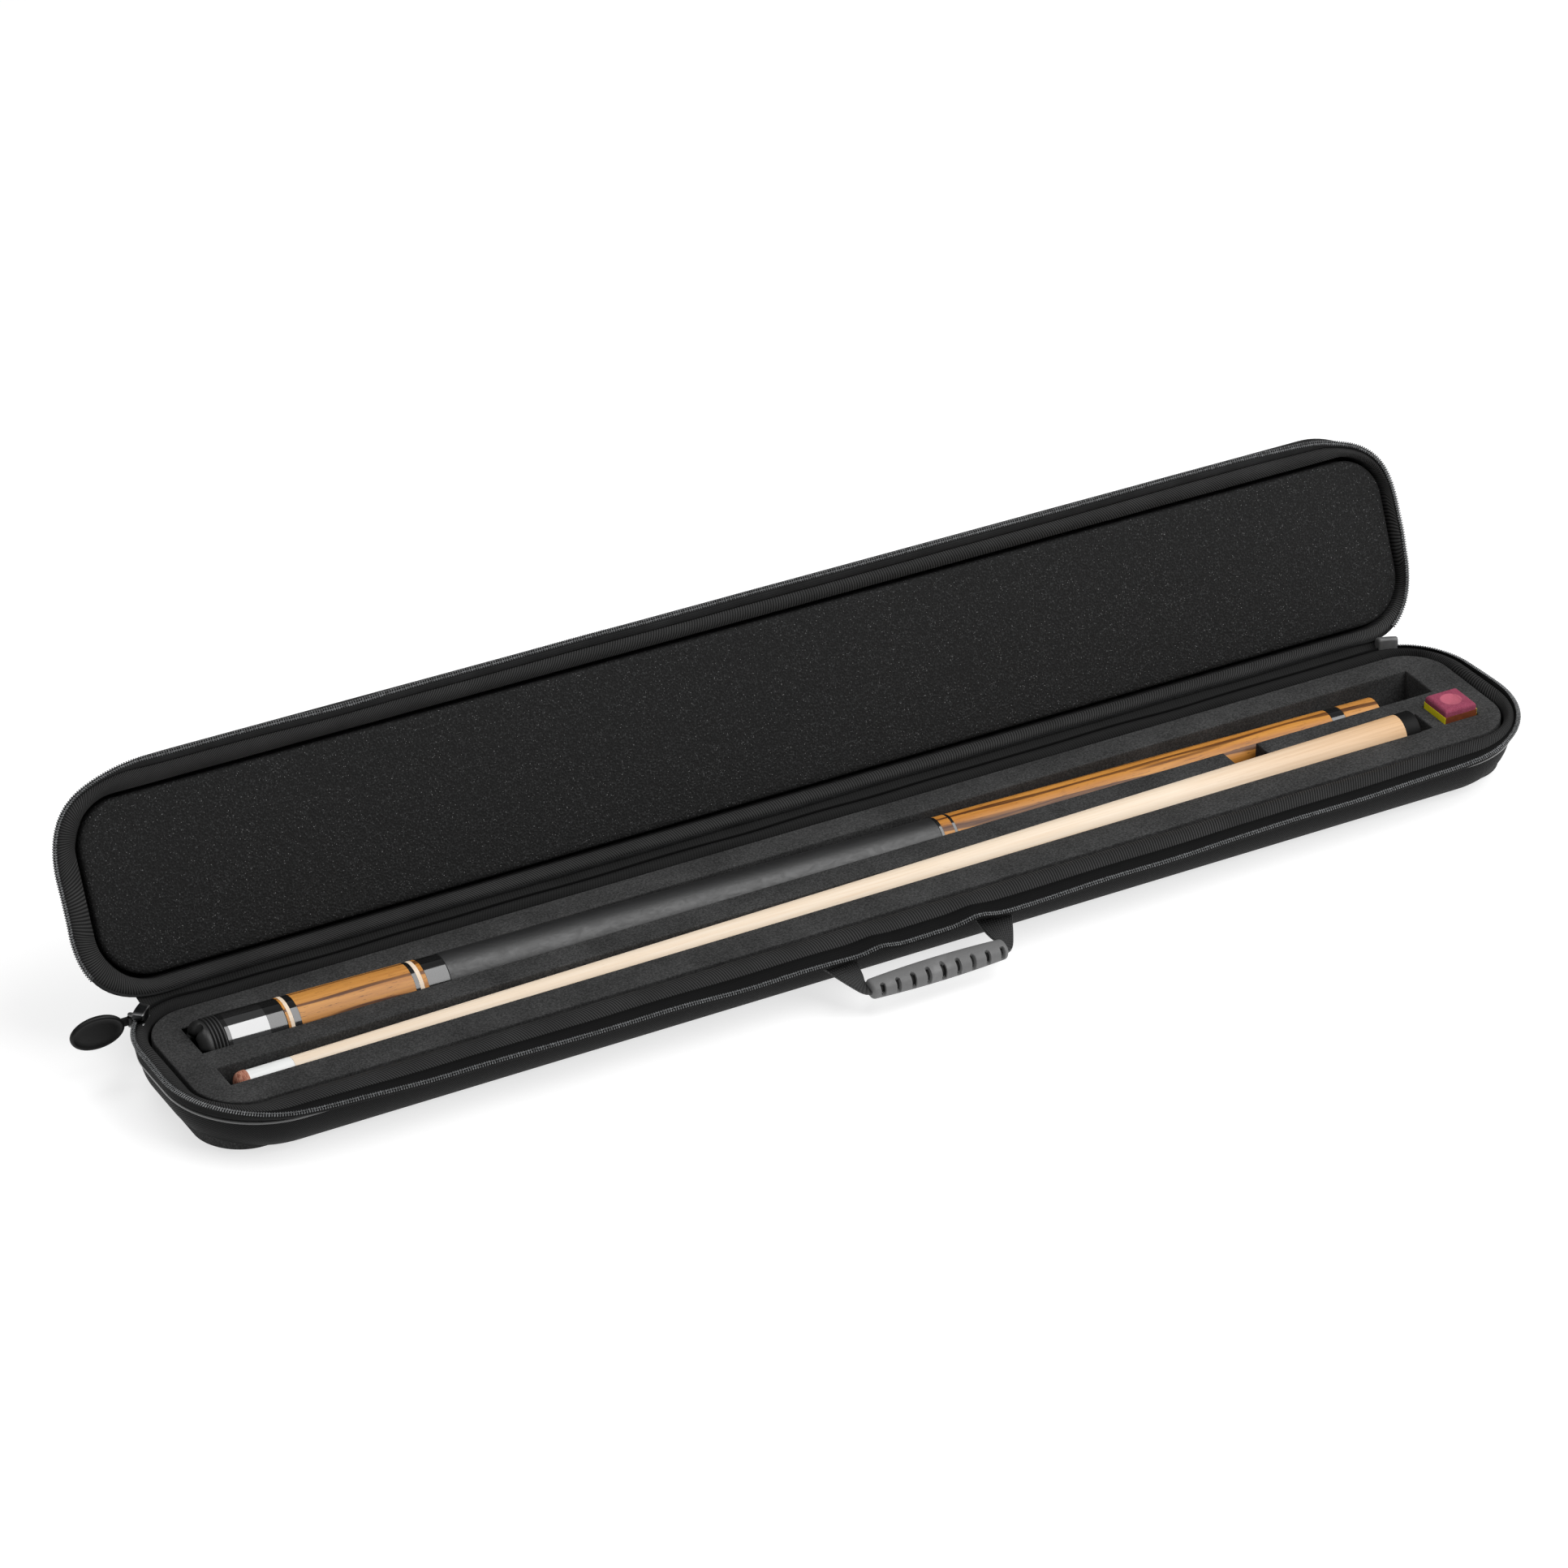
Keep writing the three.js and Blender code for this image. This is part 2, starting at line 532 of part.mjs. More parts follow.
function cueButt() {
  const group = new THREE.Group();
  group.position.set(0, BUTT.y, BUTT.z);
  group.rotation.y = degrees(BUTT.droop);
  group.add(bumper());
  BUTT_STACK.forEach(([name, finish, right], i) => {
    const left = i ? BUTT_STACK[i - 1][2] : BUMPER.seat;
    group.add(plainButt(name, finish, left, right));
  });
  const { shoulder, shoulderRadius, end, radius, tipRadius, tip } = JOINT_PIN;
  const from = BUTT_STACK.at(-1)[2];
  group.add(turned('butt_joint_pin', 'steel', [
    [from + FIT, shoulderRadius], [from + shoulder, shoulderRadius],
    [from + shoulder, radius], [end - tip, radius], [end, tipRadius],
  ]));
  return group;
}

function cueShaft() {
  const group = new THREE.Group();
  group.position.set(0, SHAFT.y, SHAFT.z);
  group.rotation.y = -degrees(SHAFT.rise);
  const r = SHAFT.tipRadius;
  const { from, to, bevel, socketFrom, socketRadius } = COLLAR;
  const dome = [[-383, 2.6], [-382.2, 4.6], [-380.6, 6], [-378.6, r]];
  group.add(
    turned('shaft_tip', 'leather', [...dome, [FERRULE.from - RING_GAP, r]]),
    turned('shaft_ferrule', 'ferrule', [[FERRULE.from + RING_GAP, r], [FERRULE.to - RING_GAP, r]]),
    turned('shaft_wood', 'maple', [[FERRULE.to + RING_GAP, r], [SHAFT.taperStart, r],
      [from - RING_GAP, shaftRadius(from)]]),
    turned('shaft_collar', 'gloss', [[socketFrom, socketRadius], [to, socketRadius],
      [to, SHAFT.jointRadius - bevel], [to - bevel, SHAFT.jointRadius],
      [from + RING_GAP, shaftRadius(from)]]),
    turned('shaft_insert', 'brass', [[socketFrom + FIT, socketRadius - FIT], [INSERT.end, socketRadius - FIT],
      [INSERT.end, INSERT.bore], [INSERT.boreFrom, INSERT.bore]]),
  );
  return group;
}

// ---- chalk -------------------------------------------------------------------------------------------

const square = (size) => {
  const h = size / 2;
  return [[CHALK.x + h, CHALK.y + h], [CHALK.x + h, CHALK.y - h], [CHALK.x - h, CHALK.y - h],
    [CHALK.x - h, CHALK.y + h]];
};

function chalkBlock() {
  const { size, top, bottom, bevel } = CHALK;
  const rows = [row(square(size), bottom), row(square(size), top - bevel),
    row(square(size - 2 * bevel), top)];
  const ball = new THREE.SphereGeometry(CHALK_DIMPLE.radius, 48, 64).rotateX(Math.PI / 2);
  ball.translate(CHALK.x, CHALK.y, top + CHALK_DIMPLE.radius - CHALK_DIMPLE.depth);
  return geometryOf(solid(skin(rows)).subtract(solid(ball)));
}

function chalkLabel() {
  const { size, thickness, top, bottom } = CHALK_LABEL;
  const inside = square(size - 2 * thickness);
  return skin([row(square(size), bottom), row(square(size), top), row(inside, top), row(inside, bottom)],
    { rowsWrap: true });
}

// ---- assembly ------------------------------------------------------------------------------------------

function base() {
  const group = new THREE.Group();
  group.position.z = RIM_HEIGHT;
  group.add(
    ...halfCase('base', RIM_HEIGHT, -1, WHOLE_ZIP, FOAM, RIM_HEIGHT - FOAM_TOP),
    piece('foam_insert', foamInsert(), 'foam'),
    piece('hinge_gusset', baseGusset(), 'tape'),
  );
  return group;
}

// The lid's zip stops short of the slider on one side and of the end stop on the other.
function lid() {
  const hinge = new THREE.Group();
  hinge.position.set(0, RIM.rear, RIM_HEIGHT);
  hinge.rotation.x = -degrees(LID_OPEN_ANGLE);
  const cover = new THREE.Group();
  cover.position.y = -RIM.rear;
  const zip = {
    from: END_STOP.angle - END_STOP.halfAngle - ZIP_GAP.endStop,
    to: SLIDER.angle + SLIDER.halfAngle + ZIP_GAP.slider,
  };
  cover.add(
    ...halfCase('lid', LID_DEPTH, 1, zip, PAD, PAD_RECESS),
    piece('lid_foam_pad', lidPad(), 'sponge'),
    piece('hinge_gusset_lid_edge', lidGusset(), 'tape'),
  );
  hinge.add(cover);
  return hinge;
}

function handle() {
  const group = new THREE.Group();
  group.position.set(0, HANDLE_PIVOT.y, HANDLE_PIVOT.z);
  group.rotation.x = degrees(HANDLE_DROOP);
  group.add(
    piece('handle_webbing', handleWebbing(), 'webbing'),
    piece('handle_grip', handleGrip(), 'gripRubber'),
  );
  return group;
}

const pull = piece('pull_tab', pullTab(), 'rubber');
pull.position.copy(pullPivot());

const cueCase = new THREE.Group();
cueCase.add(
  base(),
  lid(),
  handle(),
  piece('zipper_end_stop', saddle(END_STOP, 1), 'endStop'),
  piece('zipper_slider', zipSlider(), 'gunmetal'),
  pull,
  cueButt(),
  cueShaft(),
  piece('chalk_block', chalkBlock(), 'chalk'),
  piece('chalk_label', chalkLabel(), 'label'),
);

export default cueCase;
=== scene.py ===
"""The looks of a hard-sided cue case, standing open with its cue and a cube of chalk.

Lengths are millimetres until a mesh is made. +X runs along the case and -Y to the handle. The rim is
the outline where the halves meet. Base pieces are placed by their height, and lid pieces by their
depth behind the parting plane in the closed lid, and are then swung open about the hinge.
"""

import json
import math

import bpy
import numpy as np
from mathutils import Matrix, Vector
from mathutils.geometry import delaunay_2d_cdt


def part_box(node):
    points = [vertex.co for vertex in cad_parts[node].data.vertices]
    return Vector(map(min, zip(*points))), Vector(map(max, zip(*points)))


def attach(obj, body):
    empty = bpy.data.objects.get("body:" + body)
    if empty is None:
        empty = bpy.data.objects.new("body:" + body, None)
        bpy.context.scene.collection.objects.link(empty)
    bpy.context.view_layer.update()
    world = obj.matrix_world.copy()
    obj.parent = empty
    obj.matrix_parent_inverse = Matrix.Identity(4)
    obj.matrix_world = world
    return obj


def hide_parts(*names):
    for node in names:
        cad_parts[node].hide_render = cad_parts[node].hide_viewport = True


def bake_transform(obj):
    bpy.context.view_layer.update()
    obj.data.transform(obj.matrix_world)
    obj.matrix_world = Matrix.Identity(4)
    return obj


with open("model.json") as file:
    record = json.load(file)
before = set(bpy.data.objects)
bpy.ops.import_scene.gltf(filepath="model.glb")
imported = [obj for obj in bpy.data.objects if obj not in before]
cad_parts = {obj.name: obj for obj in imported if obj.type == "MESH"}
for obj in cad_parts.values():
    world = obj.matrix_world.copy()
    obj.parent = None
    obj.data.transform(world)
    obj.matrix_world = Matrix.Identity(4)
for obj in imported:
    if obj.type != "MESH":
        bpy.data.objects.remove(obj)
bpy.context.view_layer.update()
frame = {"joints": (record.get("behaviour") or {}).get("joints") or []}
MM = 0.001


def low(node, axis):
    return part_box(node)[0][axis] / MM


def high(node, axis):
    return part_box(node)[1][axis] / MM


# ---- driving dimensions ----------------------------------------------------------------------

TEETH_INSET = 0.4
RIM = dict(x=high("base_zipper_teeth", 0) + TEETH_INSET, front=low("base_zipper_teeth", 1) - TEETH_INSET,
           rear=63.5, front_radius=55.0, rear_radius=45.0)
hinge = next(j for j in frame["joints"] if j["name"] == "lid_hinge")
HINGE_Y, RIM_HEIGHT = (v / MM for v in hinge["pos_m"][1:])
OPEN_ANGLE = math.radians(-hinge["range_deg"][0])
LID_DEPTH = 30.0
SHELL_EDGE = 11.7
SHELL_INSET = 1.5
FOAM_TOP = high("foam_insert", 2)
FOAM = dict(x=high("foam_insert", 0), front=low("foam_insert", 1), rear=high("foam_insert", 1),
            front_radius=28.0, rear_radius=26.0)
PAD = dict(x=high("lid_foam_pad", 0), front=-44.0, rear=52.5, front_radius=25.0, rear_radius=28.0)
PAD_RECESS = 5.7
CORNER_STEPS, LONG_STEPS, END_STEPS = 22, 250, 14
TOOTH_PITCH = 1.42
SKIN = 2.6
CHALK_AT = [(low("chalk_block", i) + high("chalk_block", i)) / 2 for i in (0, 1)]


# ---- outlines --------------------------------------------------------------------------------

def arc(cx, cy, radius, start, end, steps):
    a = np.radians(np.linspace(start, end, steps + 1)[:-1])
    return np.c_[cx + radius * np.cos(a), cy + radius * np.sin(a)], np.c_[np.cos(a), np.sin(a)]


def line(p, q, normal, steps):
    t = np.linspace(0, 1, steps + 1)[:-1, None]
    points = np.array(p) * (1 - t) + np.array(q) * t
    return points, np.tile(normal, (steps, 1))


def ring(o):
    """Points and outward normals of a rounded rectangle, clockwise from the rear right corner.
    Every outline has the same number of points on each stretch, so rings match up."""
    x, f, r, fr, rr = o["x"], o["front"], o["rear"], o["front_radius"], o["rear_radius"]
    parts = [
        arc(x - rr, r - rr, rr, 90, 0, CORNER_STEPS), line((x, r - rr), (x, f + fr), (1, 0), END_STEPS),
        arc(x - fr, f + fr, fr, 0, -90, CORNER_STEPS),
        line((x - fr, f), (fr - x, f), (0, -1), LONG_STEPS),
        arc(fr - x, f + fr, fr, -90, -180, CORNER_STEPS),
        line((-x, f + fr), (-x, r - rr), (-1, 0), END_STEPS),
        arc(rr - x, r - rr, rr, 180, 90, CORNER_STEPS), line((rr - x, r), (x - rr, r), (0, 1), LONG_STEPS),
    ]
    return np.vstack([p for p, _ in parts]), np.vstack([n for _, n in parts])


RING_STEPS = [CORNER_STEPS, END_STEPS, CORNER_STEPS, LONG_STEPS] * 2
# Where a point is along the ring: 0-1 rear right corner, 1-2 right end, 2-3 front right corner,
# 3-4 front from right to left, 4-5 front left corner, 5-6 left end, 6-7 rear left corner, 7-8 rear.
STATION = np.concatenate([i + np.arange(n) / n for i, n in enumerate(RING_STEPS)])


def along(stations, reach=9):
    """Smooth values round the ring from a few (station, value) pairs."""
    s, v = zip(*stations)
    values = np.interp(STATION, s, v)
    kernel = np.hanning(2 * reach + 1)
    kernel /= kernel.sum()
    return np.convolve(np.r_[values[-reach:], values, values[:reach]], kernel, "valid")


def wander(points, size, scale, seed):
    """A gentle random unevenness along a closed row of points: sums of a few long waves."""
    draw = np.random.default_rng(seed)
    s = np.r_[0, np.cumsum(np.linalg.norm(np.diff(points, axis=0), axis=1))]
    total = s[-1] + np.linalg.norm(points[0] - points[-1])
    out = np.zeros(len(points))
    for _ in range(7):
        turns = max(1, round(total / scale * draw.uniform(0.4, 1.6)))
        out += np.sin(2 * math.pi * turns * s / total + draw.uniform(0, 6.28))
    return out * size / 2.6


# ---- mesh making -----------------------------------------------------------------------------

def swing(points):
    """Lid points, (x, y, depth) with the lid closed, to where they are with the lid open."""
    p = np.asarray(points, float)
    back, depth = p[..., 1] - HINGE_Y, p[..., 2]
    c, s = math.cos(OPEN_ANGLE), math.sin(OPEN_ANGLE)
    return np.stack([p[..., 0], HINGE_Y + back * c + depth * s, RIM_HEIGHT - back * s + depth * c], -1)


def mesh(name, verts, faces, look, body=None, slot=None, replaces=(), uvs=None, sharp=35, second=None):
    """A closed body with its facts. Lid pieces are made in the closed lid and swung open here."""
    if body == "lid":
        verts = swing(verts)
    faces, uvs = outward(verts, faces, uvs)
    me = bpy.data.meshes.new(name)
    me.from_pydata((np.asarray(verts, float) * MM).tolist(), [], [tuple(map(int, f)) for f in faces])
    me.update()
    if uvs is not None:
        layer = me.uv_layers.new(name="cloth")
        layer.data.foreach_set("uv", np.asarray(uvs, np.float32).ravel())
    me.shade_smooth()
    me.set_sharp_from_angle(angle=math.radians(sharp))
    ob = bpy.data.objects.new(name, me)
    bpy.context.scene.collection.objects.link(ob)
    material, usual_slot = LOOK[look]
    me.materials.append(material)
    if second:
        me.materials.append(LOOK[second][0])
    if body:
        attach(ob, body)
    slot or usual_slot
    if replaces:
        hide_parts(*replaces)
    return ob


def grid(rows, wrap_rows=False, wrap_cols=True, cap_ends=False):
    """Vertices, faces and per-corner UVs (millimetres along and across) of a skin through rows."""
    rows = np.asarray(rows, float)
    count, cols = rows.shape[:2]
    middle = rows[count // 2]
    across = np.r_[0, np.cumsum(np.linalg.norm(np.diff(rows, axis=0), axis=2).mean(1))]
    ahead = np.r_[0, np.cumsum(np.linalg.norm(np.roll(middle, -1, 0) - middle, axis=1))]
    r = np.arange(count if wrap_rows else count - 1)
    c = np.arange(cols if wrap_cols else cols - 1)
    rr, cc = np.meshgrid(r, c, indexing="ij")
    r2, c2 = (rr + 1) % count, (cc + 1) % cols
    faces = np.stack([rr * cols + cc, rr * cols + c2, r2 * cols + c2, r2 * cols + cc], -1).reshape(-1, 4)
    last = across[-1] + np.linalg.norm(rows[0] - rows[-1], axis=1).mean()
    u0, u1, v0, v1 = ahead[cc], ahead[cc + 1], across[rr], np.r_[across, last][rr + 1]
    uvs = np.stack([u0, v0, u1, v0, u1, v1, u0, v1], -1).reshape(-1, 2)
    faces = faces.tolist()
    if cap_ends:
        for ids in ([r0 * cols for r0 in range(count)], [r0 * cols + cols - 1 for r0 in range(count)][::-1]):
            faces.append(ids)
            uvs = np.vstack([uvs, np.zeros((len(ids), 2))])
    return rows.reshape(-1, 3), faces, uvs


def capped(rows, plane=(0, 1)):
    """A grid with a face over each end. Those faces take their UVs from two of the axes."""
    verts, faces, uvs = grid(rows)
    n = len(rows[0])
    for cap in (range(n)[::-1], range(len(verts) - n, len(verts))):
        faces.append(list(cap))
        uvs = np.vstack([uvs, verts[faces[-1]][:, list(plane)]])
    return verts, faces, uvs


def outward(verts, faces, uvs=None):
    """The same faces, turned to face out of the closed body."""
    corners = np.array([(f[0], f[i], f[i + 1]) for f in faces for i in range(1, len(f) - 1)])
    a, b, c = (np.asarray(verts, float)[column] for column in corners.T)
    if np.sum(a * np.cross(b, c)) > 0:
        return faces, uvs
    if uvs is not None:
        ends = np.cumsum([len(f) for f in faces])
        uvs = np.vstack([uvs[end - len(f):end][::-1] for f, end in zip(faces, ends)])
    return [list(f)[::-1] for f in faces], uvs


def loft(loops):
    """Faces through loops of equal length. Returns vertices and faces, facing out."""
    verts, faces, _ = capped(np.array(loops))
    return verts, outward(verts, faces)[0]


def join(bodies):
    """Several bodies as one list of vertices and one of faces."""
    verts, faces, n = [], [], 0
    for v, f in bodies:
        faces += [[i + n for i in one] for one in f]
        verts.append(np.asarray(v))
        n += len(v)
    return np.vstack(verts), faces


def closed(name, rows, look, lid, **facts):
    """A body through closed rows round the rim, in the lid or the base."""
    verts, faces, uvs = grid(rows, wrap_rows=True)
    return mesh(name, verts, faces, look, uvs=uvs, body=half(lid), **facts)


def half(lid):
    return "lid" if lid else "base"


def to_middle(o, shares):
    """Rings between an outline and its long middle line, at the given shares of the way."""
    points, _ = ring(o)
    half = (o["rear"] - o["front"]) / 2
    middle = np.c_[np.clip(points[:, 0], half - o["x"], o["x"] - half),
                   np.full(len(points), (o["rear"] + o["front"]) / 2)]
    return [points * (1 - t) + middle * t for t in shares]


def grown(o, by):
    return dict(x=o["x"] + by, front=o["front"] - by, rear=o["rear"] + by,
                front_radius=o["front_radius"] + by, rear_radius=o["rear_radius"] + by)


# ---- materials -------------------------------------------------------------------------------

class Shader:
    """A node material, built by short calls. Scales are per millimetre of surface."""

    def __init__(self, name, colour, roughness, **sockets):
        self.material = bpy.data.materials.new(name)
        self.material.use_nodes = True
        self.nodes = self.material.node_tree.nodes
        self.links = self.material.node_tree.links
        self.surface = self.nodes["Principled BSDF"]
        self.colour(colour)
        self.put("Roughness", roughness)
        for socket, v in sockets.items():
            self.surface.inputs[socket.replace("_", " ")].default_value = v
        self.height = None

    def put(self, socket, source):
        if hasattr(source, "node"):
            self.links.new(source, self.surface.inputs[socket])
        else:
            self.surface.inputs[socket].default_value = source

    def colour(self, c):
        self.put("Base Color", c if hasattr(c, "node") else (*c, 1))

    def node(self, kind, **inputs):
        n = self.nodes.new("ShaderNode" + kind)
        for k, v in inputs.items():
            k = k.replace("_", " ")
            target = n.inputs[int(k[1:])] if k[0] == "i" and k[1:].isdigit() else n.inputs[k]
            if hasattr(v, "node"):
                self.links.new(v, target)
            else:
                target.default_value = v
        return n

    def place(self, scale=(1, 1, 1), turn=(0, 0, 0), uv=False):
        """Object coordinates in millimetres, or the cloth's own, along and across."""
        if uv:
            source = self.node("UVMap")
            source.uv_map = "cloth"
            out, k = source.outputs[0], 1
        else:
            out, k = self.node("TexCoord").outputs["Object"], 1 / MM
        mapping = self.node("Mapping", Vector=out, Scale=[s * k for s in scale], Rotation=turn)
        return mapping.outputs[0]

    def noise(self, at, scale, detail=3.0, roughness=0.55, distortion=0.0):
        n = self.node("TexNoise", Vector=at, Scale=scale, Detail=detail, Roughness=roughness,
                      Distortion=distortion)
        return n.outputs["Fac"]

    def cells(self, at, scale, feature="F1"):
        n = self.nodes.new("ShaderNodeTexVoronoi")
        n.feature = feature
        self.links.new(at, n.inputs["Vector"])
        n.inputs["Scale"].default_value = scale
        return n.outputs

    def bands(self, at, scale, direction="X", distortion=0.0, profile="SIN"):
        n = self.nodes.new("ShaderNodeTexWave")
        n.bands_direction = direction
        n.wave_profile = profile
        self.links.new(at, n.inputs["Vector"])
        settings = {"Scale": scale, "Distortion": distortion, "Detail": 2.0, "Detail Scale": 1.5}
        for socket, v in settings.items():
            n.inputs[socket].default_value = v
        return n.outputs["Fac"]

    def math(self, kind, a, b=0.0, c=0.0):
        n = self.nodes.new("ShaderNodeMath")
        n.operation = kind
        for i, v in enumerate((a, b, c)):
            if hasattr(v, "node"):
                self.links.new(v, n.inputs[i])
            else:
                n.inputs[i].default_value = v
        return n.outputs[0]

    def times(self, a, b):
        return self.math("MULTIPLY", a, b)

    def plus(self, a, b):
        return self.math("ADD", a, b)

    def rough(self, *spread):
        self.put("Roughness", self.remap(*spread))

    def remap(self, v, a, b, low=0.0, high=1.0):
        n = self.node("MapRange", Value=v, From_Min=a, From_Max=b, To_Min=low, To_Max=high)
        return n.outputs[0]

    def ramp(self, v, *stops):
        n = self.node("ValToRGB", Fac=v)
        while len(n.color_ramp.elements) < len(stops):
            n.color_ramp.elements.new(0.5)
        for e, (pos, c) in zip(n.color_ramp.elements, stops):
            e.position = pos
            e.color = (*c, 1)
        return n.outputs[0]

    def mix(self, v, a, b, kind="MIX"):
        n = self.nodes.new("ShaderNodeMix")
        n.data_type = "RGBA"
        n.blend_type = kind
        for i, value in ((0, v), (6, a), (7, b)):
            if hasattr(value, "node"):
                self.links.new(value, n.inputs[i])
            else:
                n.inputs[i].default_value = (*value, 1) if isinstance(value, tuple) else value
        return n.outputs[2]

    def bump(self, height, depth, strength=1.0):
        """`depth` is how tall the relief is, in millimetres. Bumps stack."""
        n = self.node("Bump", Height=height, Strength=strength, Distance=depth * MM)
        if self.height is not None:
            self.links.new(self.height, n.inputs["Normal"])
        self.height = n.outputs[0]
        self.links.new(self.height, self.surface.inputs["Normal"])


def grey(v, tint=(1.0, 1.0, 1.0)):
    return tuple(v * t for t in tint)


COOL = (0.97, 1.0, 1.03)


def nylon():
    """Twill-woven shell fabric over moulded foam."""
    s = Shader("shell_nylon", grey(0.006), 0.62, Specular_IOR_Level=0.16)
    twill = s.bands(s.place(uv=True, turn=(0, 0, 0.9)), 0.30)
    weft = s.bands(s.place(uv=True, turn=(0, 0, -0.66)), 0.34)
    weave = s.times(twill, s.remap(weft, 0, 1, 0.35, 1.0))
    patch = s.noise(s.place(), 0.02, 4)
    fine = s.noise(s.place(), 1.6, 2)
    dark = s.mix(patch, grey(0.001), grey(0.0018))
    light = s.mix(patch, grey(0.007, COOL), grey(0.010, COOL))
    s.colour(s.mix(s.plus(s.times(weave, 0.75), s.times(fine, 0.25)), dark, light))
    s.rough(weave, 0, 1, 0.75, 0.5)
    s.bump(weave, 0.16, 0.8)
    s.bump(fine, 0.05, 0.4)
    return s.material


def ribbed(name, rear, east):
    """Knitted lining with fine ribs across the band. `rear` and `east` scale its tone at the hinge and
    at the right end: painted shade towards the hinge, painted light at the right end."""
    rib_pitch = 1.6
    s = Shader(name, grey(0.015), 0.75, Specular_IOR_Level=0.18)
    at = s.place(uv=True)
    ribs = s.bands(at, 1 / math.pi / rib_pitch, "X", 0.6)
    knit = s.bands(at, 0.42, "Y", 1.0)
    rub = s.noise(s.place(), 0.035, 5)
    xyz = s.node("SeparateXYZ", Vector=s.place()).outputs
    # Painted shade towards the hinge and painted light at the right end.
    wear_and_painted_light = s.times(s.remap(xyz[1], 38, 46, 1.0, rear), s.remap(xyz[0], 372, 400, 1.0, east))
    shade = s.times(s.times(ribs, wear_and_painted_light), s.remap(knit, 0, 1, 0.7, 1.0))
    s.colour(s.mix(s.times(shade, s.remap(rub, 0.3, 0.7, 0.65, 1.0)), grey(0.004),
                   grey(0.055)))
    s.bump(ribs, 0.18, 0.9)
    s.bump(s.noise(s.place(), 0.12, 3), 0.5, 0.5)
    return s.material


def tape(name, tone):
    """Tightly woven zip tape: fine chevrons and a stitch line."""
    s = Shader(name, grey(tone), 0.75, Specular_IOR_Level=0.15)
    at = s.place(uv=True)
    chevron = s.bands(s.place(uv=True, turn=(0, 0, 0.7)), 0.5)
    rows = s.bands(at, 0.4, "Y", 0.4)
    weave = s.plus(s.times(chevron, 0.5), s.times(rows, 0.5))
    rub = s.noise(s.place(), 0.05, 4)
    s.colour(s.mix(s.times(weave, rub), grey(tone * 0.15), grey(tone, COOL)))
    s.bump(weave, 0.1, 0.7)
    s.bump(s.noise(s.place(), 0.09, 3), 0.4, 0.4)
    return s.material


def coil():
    """Dyed nylon filament, polished by the slider along its crest. The pale grey mixed into its colour is
    painted highlight.
    """
    s = Shader("zip_coil", grey(0.05), 0.34, Specular_IOR_Level=0.65)
    wear_and_painted_light = s.noise(s.place(), 0.9, 3)
    # Painted highlight: the paler grey patches of the coil's colour.
    s.colour(s.mix(s.remap(wear_and_painted_light, 0.35, 0.65), grey(0.03), grey(0.2, COOL)))
    s.rough(wear_and_painted_light, 0.3, 0.7, 0.42, 0.26)
    s.bump(wear_and_painted_light, 0.03, 0.4)
    return s.material


def piping():
    """Vinyl-covered piping."""
    s = Shader("piping_vinyl", grey(0.014), 0.25, Specular_IOR_Level=0.7, Coat_Weight=0.6,
               Coat_Roughness=0.15)
    crease = s.bands(s.place(uv=True, turn=(0, 0, 0.5)), 0.22, "X", 2.0)
    scuff = s.noise(s.place(), 0.35, 5)
    s.colour(s.mix(scuff, grey(0.008), grey(0.03)))
    s.rough(scuff, 0.3, 0.75, 0.22, 0.48)
    s.bump(crease, 0.05, 0.35)
    return s.material


def eva_foam():
    """Closed-cell foam block: a fine grain and faint cloudy marks."""
    s = Shader("eva_foam", grey(0.05, COOL), 0.9, Specular_IOR_Level=0.2)
    grain = s.noise(s.place(), 0.95, 3, 0.75)
    pores = s.cells(s.place(), 1.2)["Distance"]
    cloud = s.noise(s.place(), 0.03, 4)
    tone = s.plus(s.times(grain, 0.7), s.times(cloud, 0.3))
    s.colour(s.ramp(tone, (0.36, grey(0.016)), (0.5, grey(0.036)), (0.64, grey(0.066))))
    s.rough(grain, 0.3, 0.7, 0.95, 0.8)
    s.bump(pores, 0.1, 0.5)
    s.bump(grain, 0.07, 0.6)
    return s.material


def sponge():
    """Open-cell sponge: pits darkened with painted shade, and cell walls that glint here and there."""
    s = Shader("sponge", grey(0.012), 0.8, Specular_IOR_Level=0.35)
    at = s.place()
    pits = s.cells(at, 0.8)["Distance"]
    webs = s.noise(at, 1.1, 4, 0.75)
    fleck = s.cells(at, 1.25)
    lucky = s.math("GREATER_THAN", s.node("SeparateColor", Color=fleck["Color"]).outputs[0], 0.88)
    near = s.math("LESS_THAN", fleck["Distance"], 0.24)
    glint = s.times(s.times(lucky, near), s.remap(webs, 0.4, 0.62))
    # Painted shade: the colour darkens into each pit.
    cell = s.times(s.remap(pits, 0.1, 0.62), s.remap(webs, 0.36, 0.66))
    plain = s.ramp(cell, (0.0, grey(0.0008)), (0.5, grey(0.004)), (1.0, grey(0.042, COOL)))
    s.colour(s.mix(glint, plain, grey(0.3)))
    s.bump(pits, 0.5, 0.8)
    s.bump(webs, 0.25, 0.7)
    return s.material


def moulded(name, tone, roughness, wear=0.0, grain=0.5, **sockets):
    """Moulded rubber or plastic with a fine grain, rubbed paler in patches."""
    s = Shader(name, grey(tone), roughness, **sockets)
    rub = s.noise(s.place(), 0.07, 5)
    fine = s.noise(s.place(), 1.4, 3)
    edge = s.node("NewGeometry").outputs["Pointiness"]
    on_edges = s.times(s.remap(edge, 0.52, 0.6), wear)
    wear_and_painted_light = s.math("MAXIMUM", on_edges, s.remap(rub, 0.55, 0.8, 0, 0.3))
    s.colour(s.mix(wear_and_painted_light, s.mix(fine, grey(tone * 0.75), grey(tone * 1.1)), grey(tone * 2.2 + 0.02)))
    s.rough(rub, 0.3, 0.7, roughness + 0.08, roughness - 0.08)
    s.bump(fine, 0.06, grain)
    return s.material


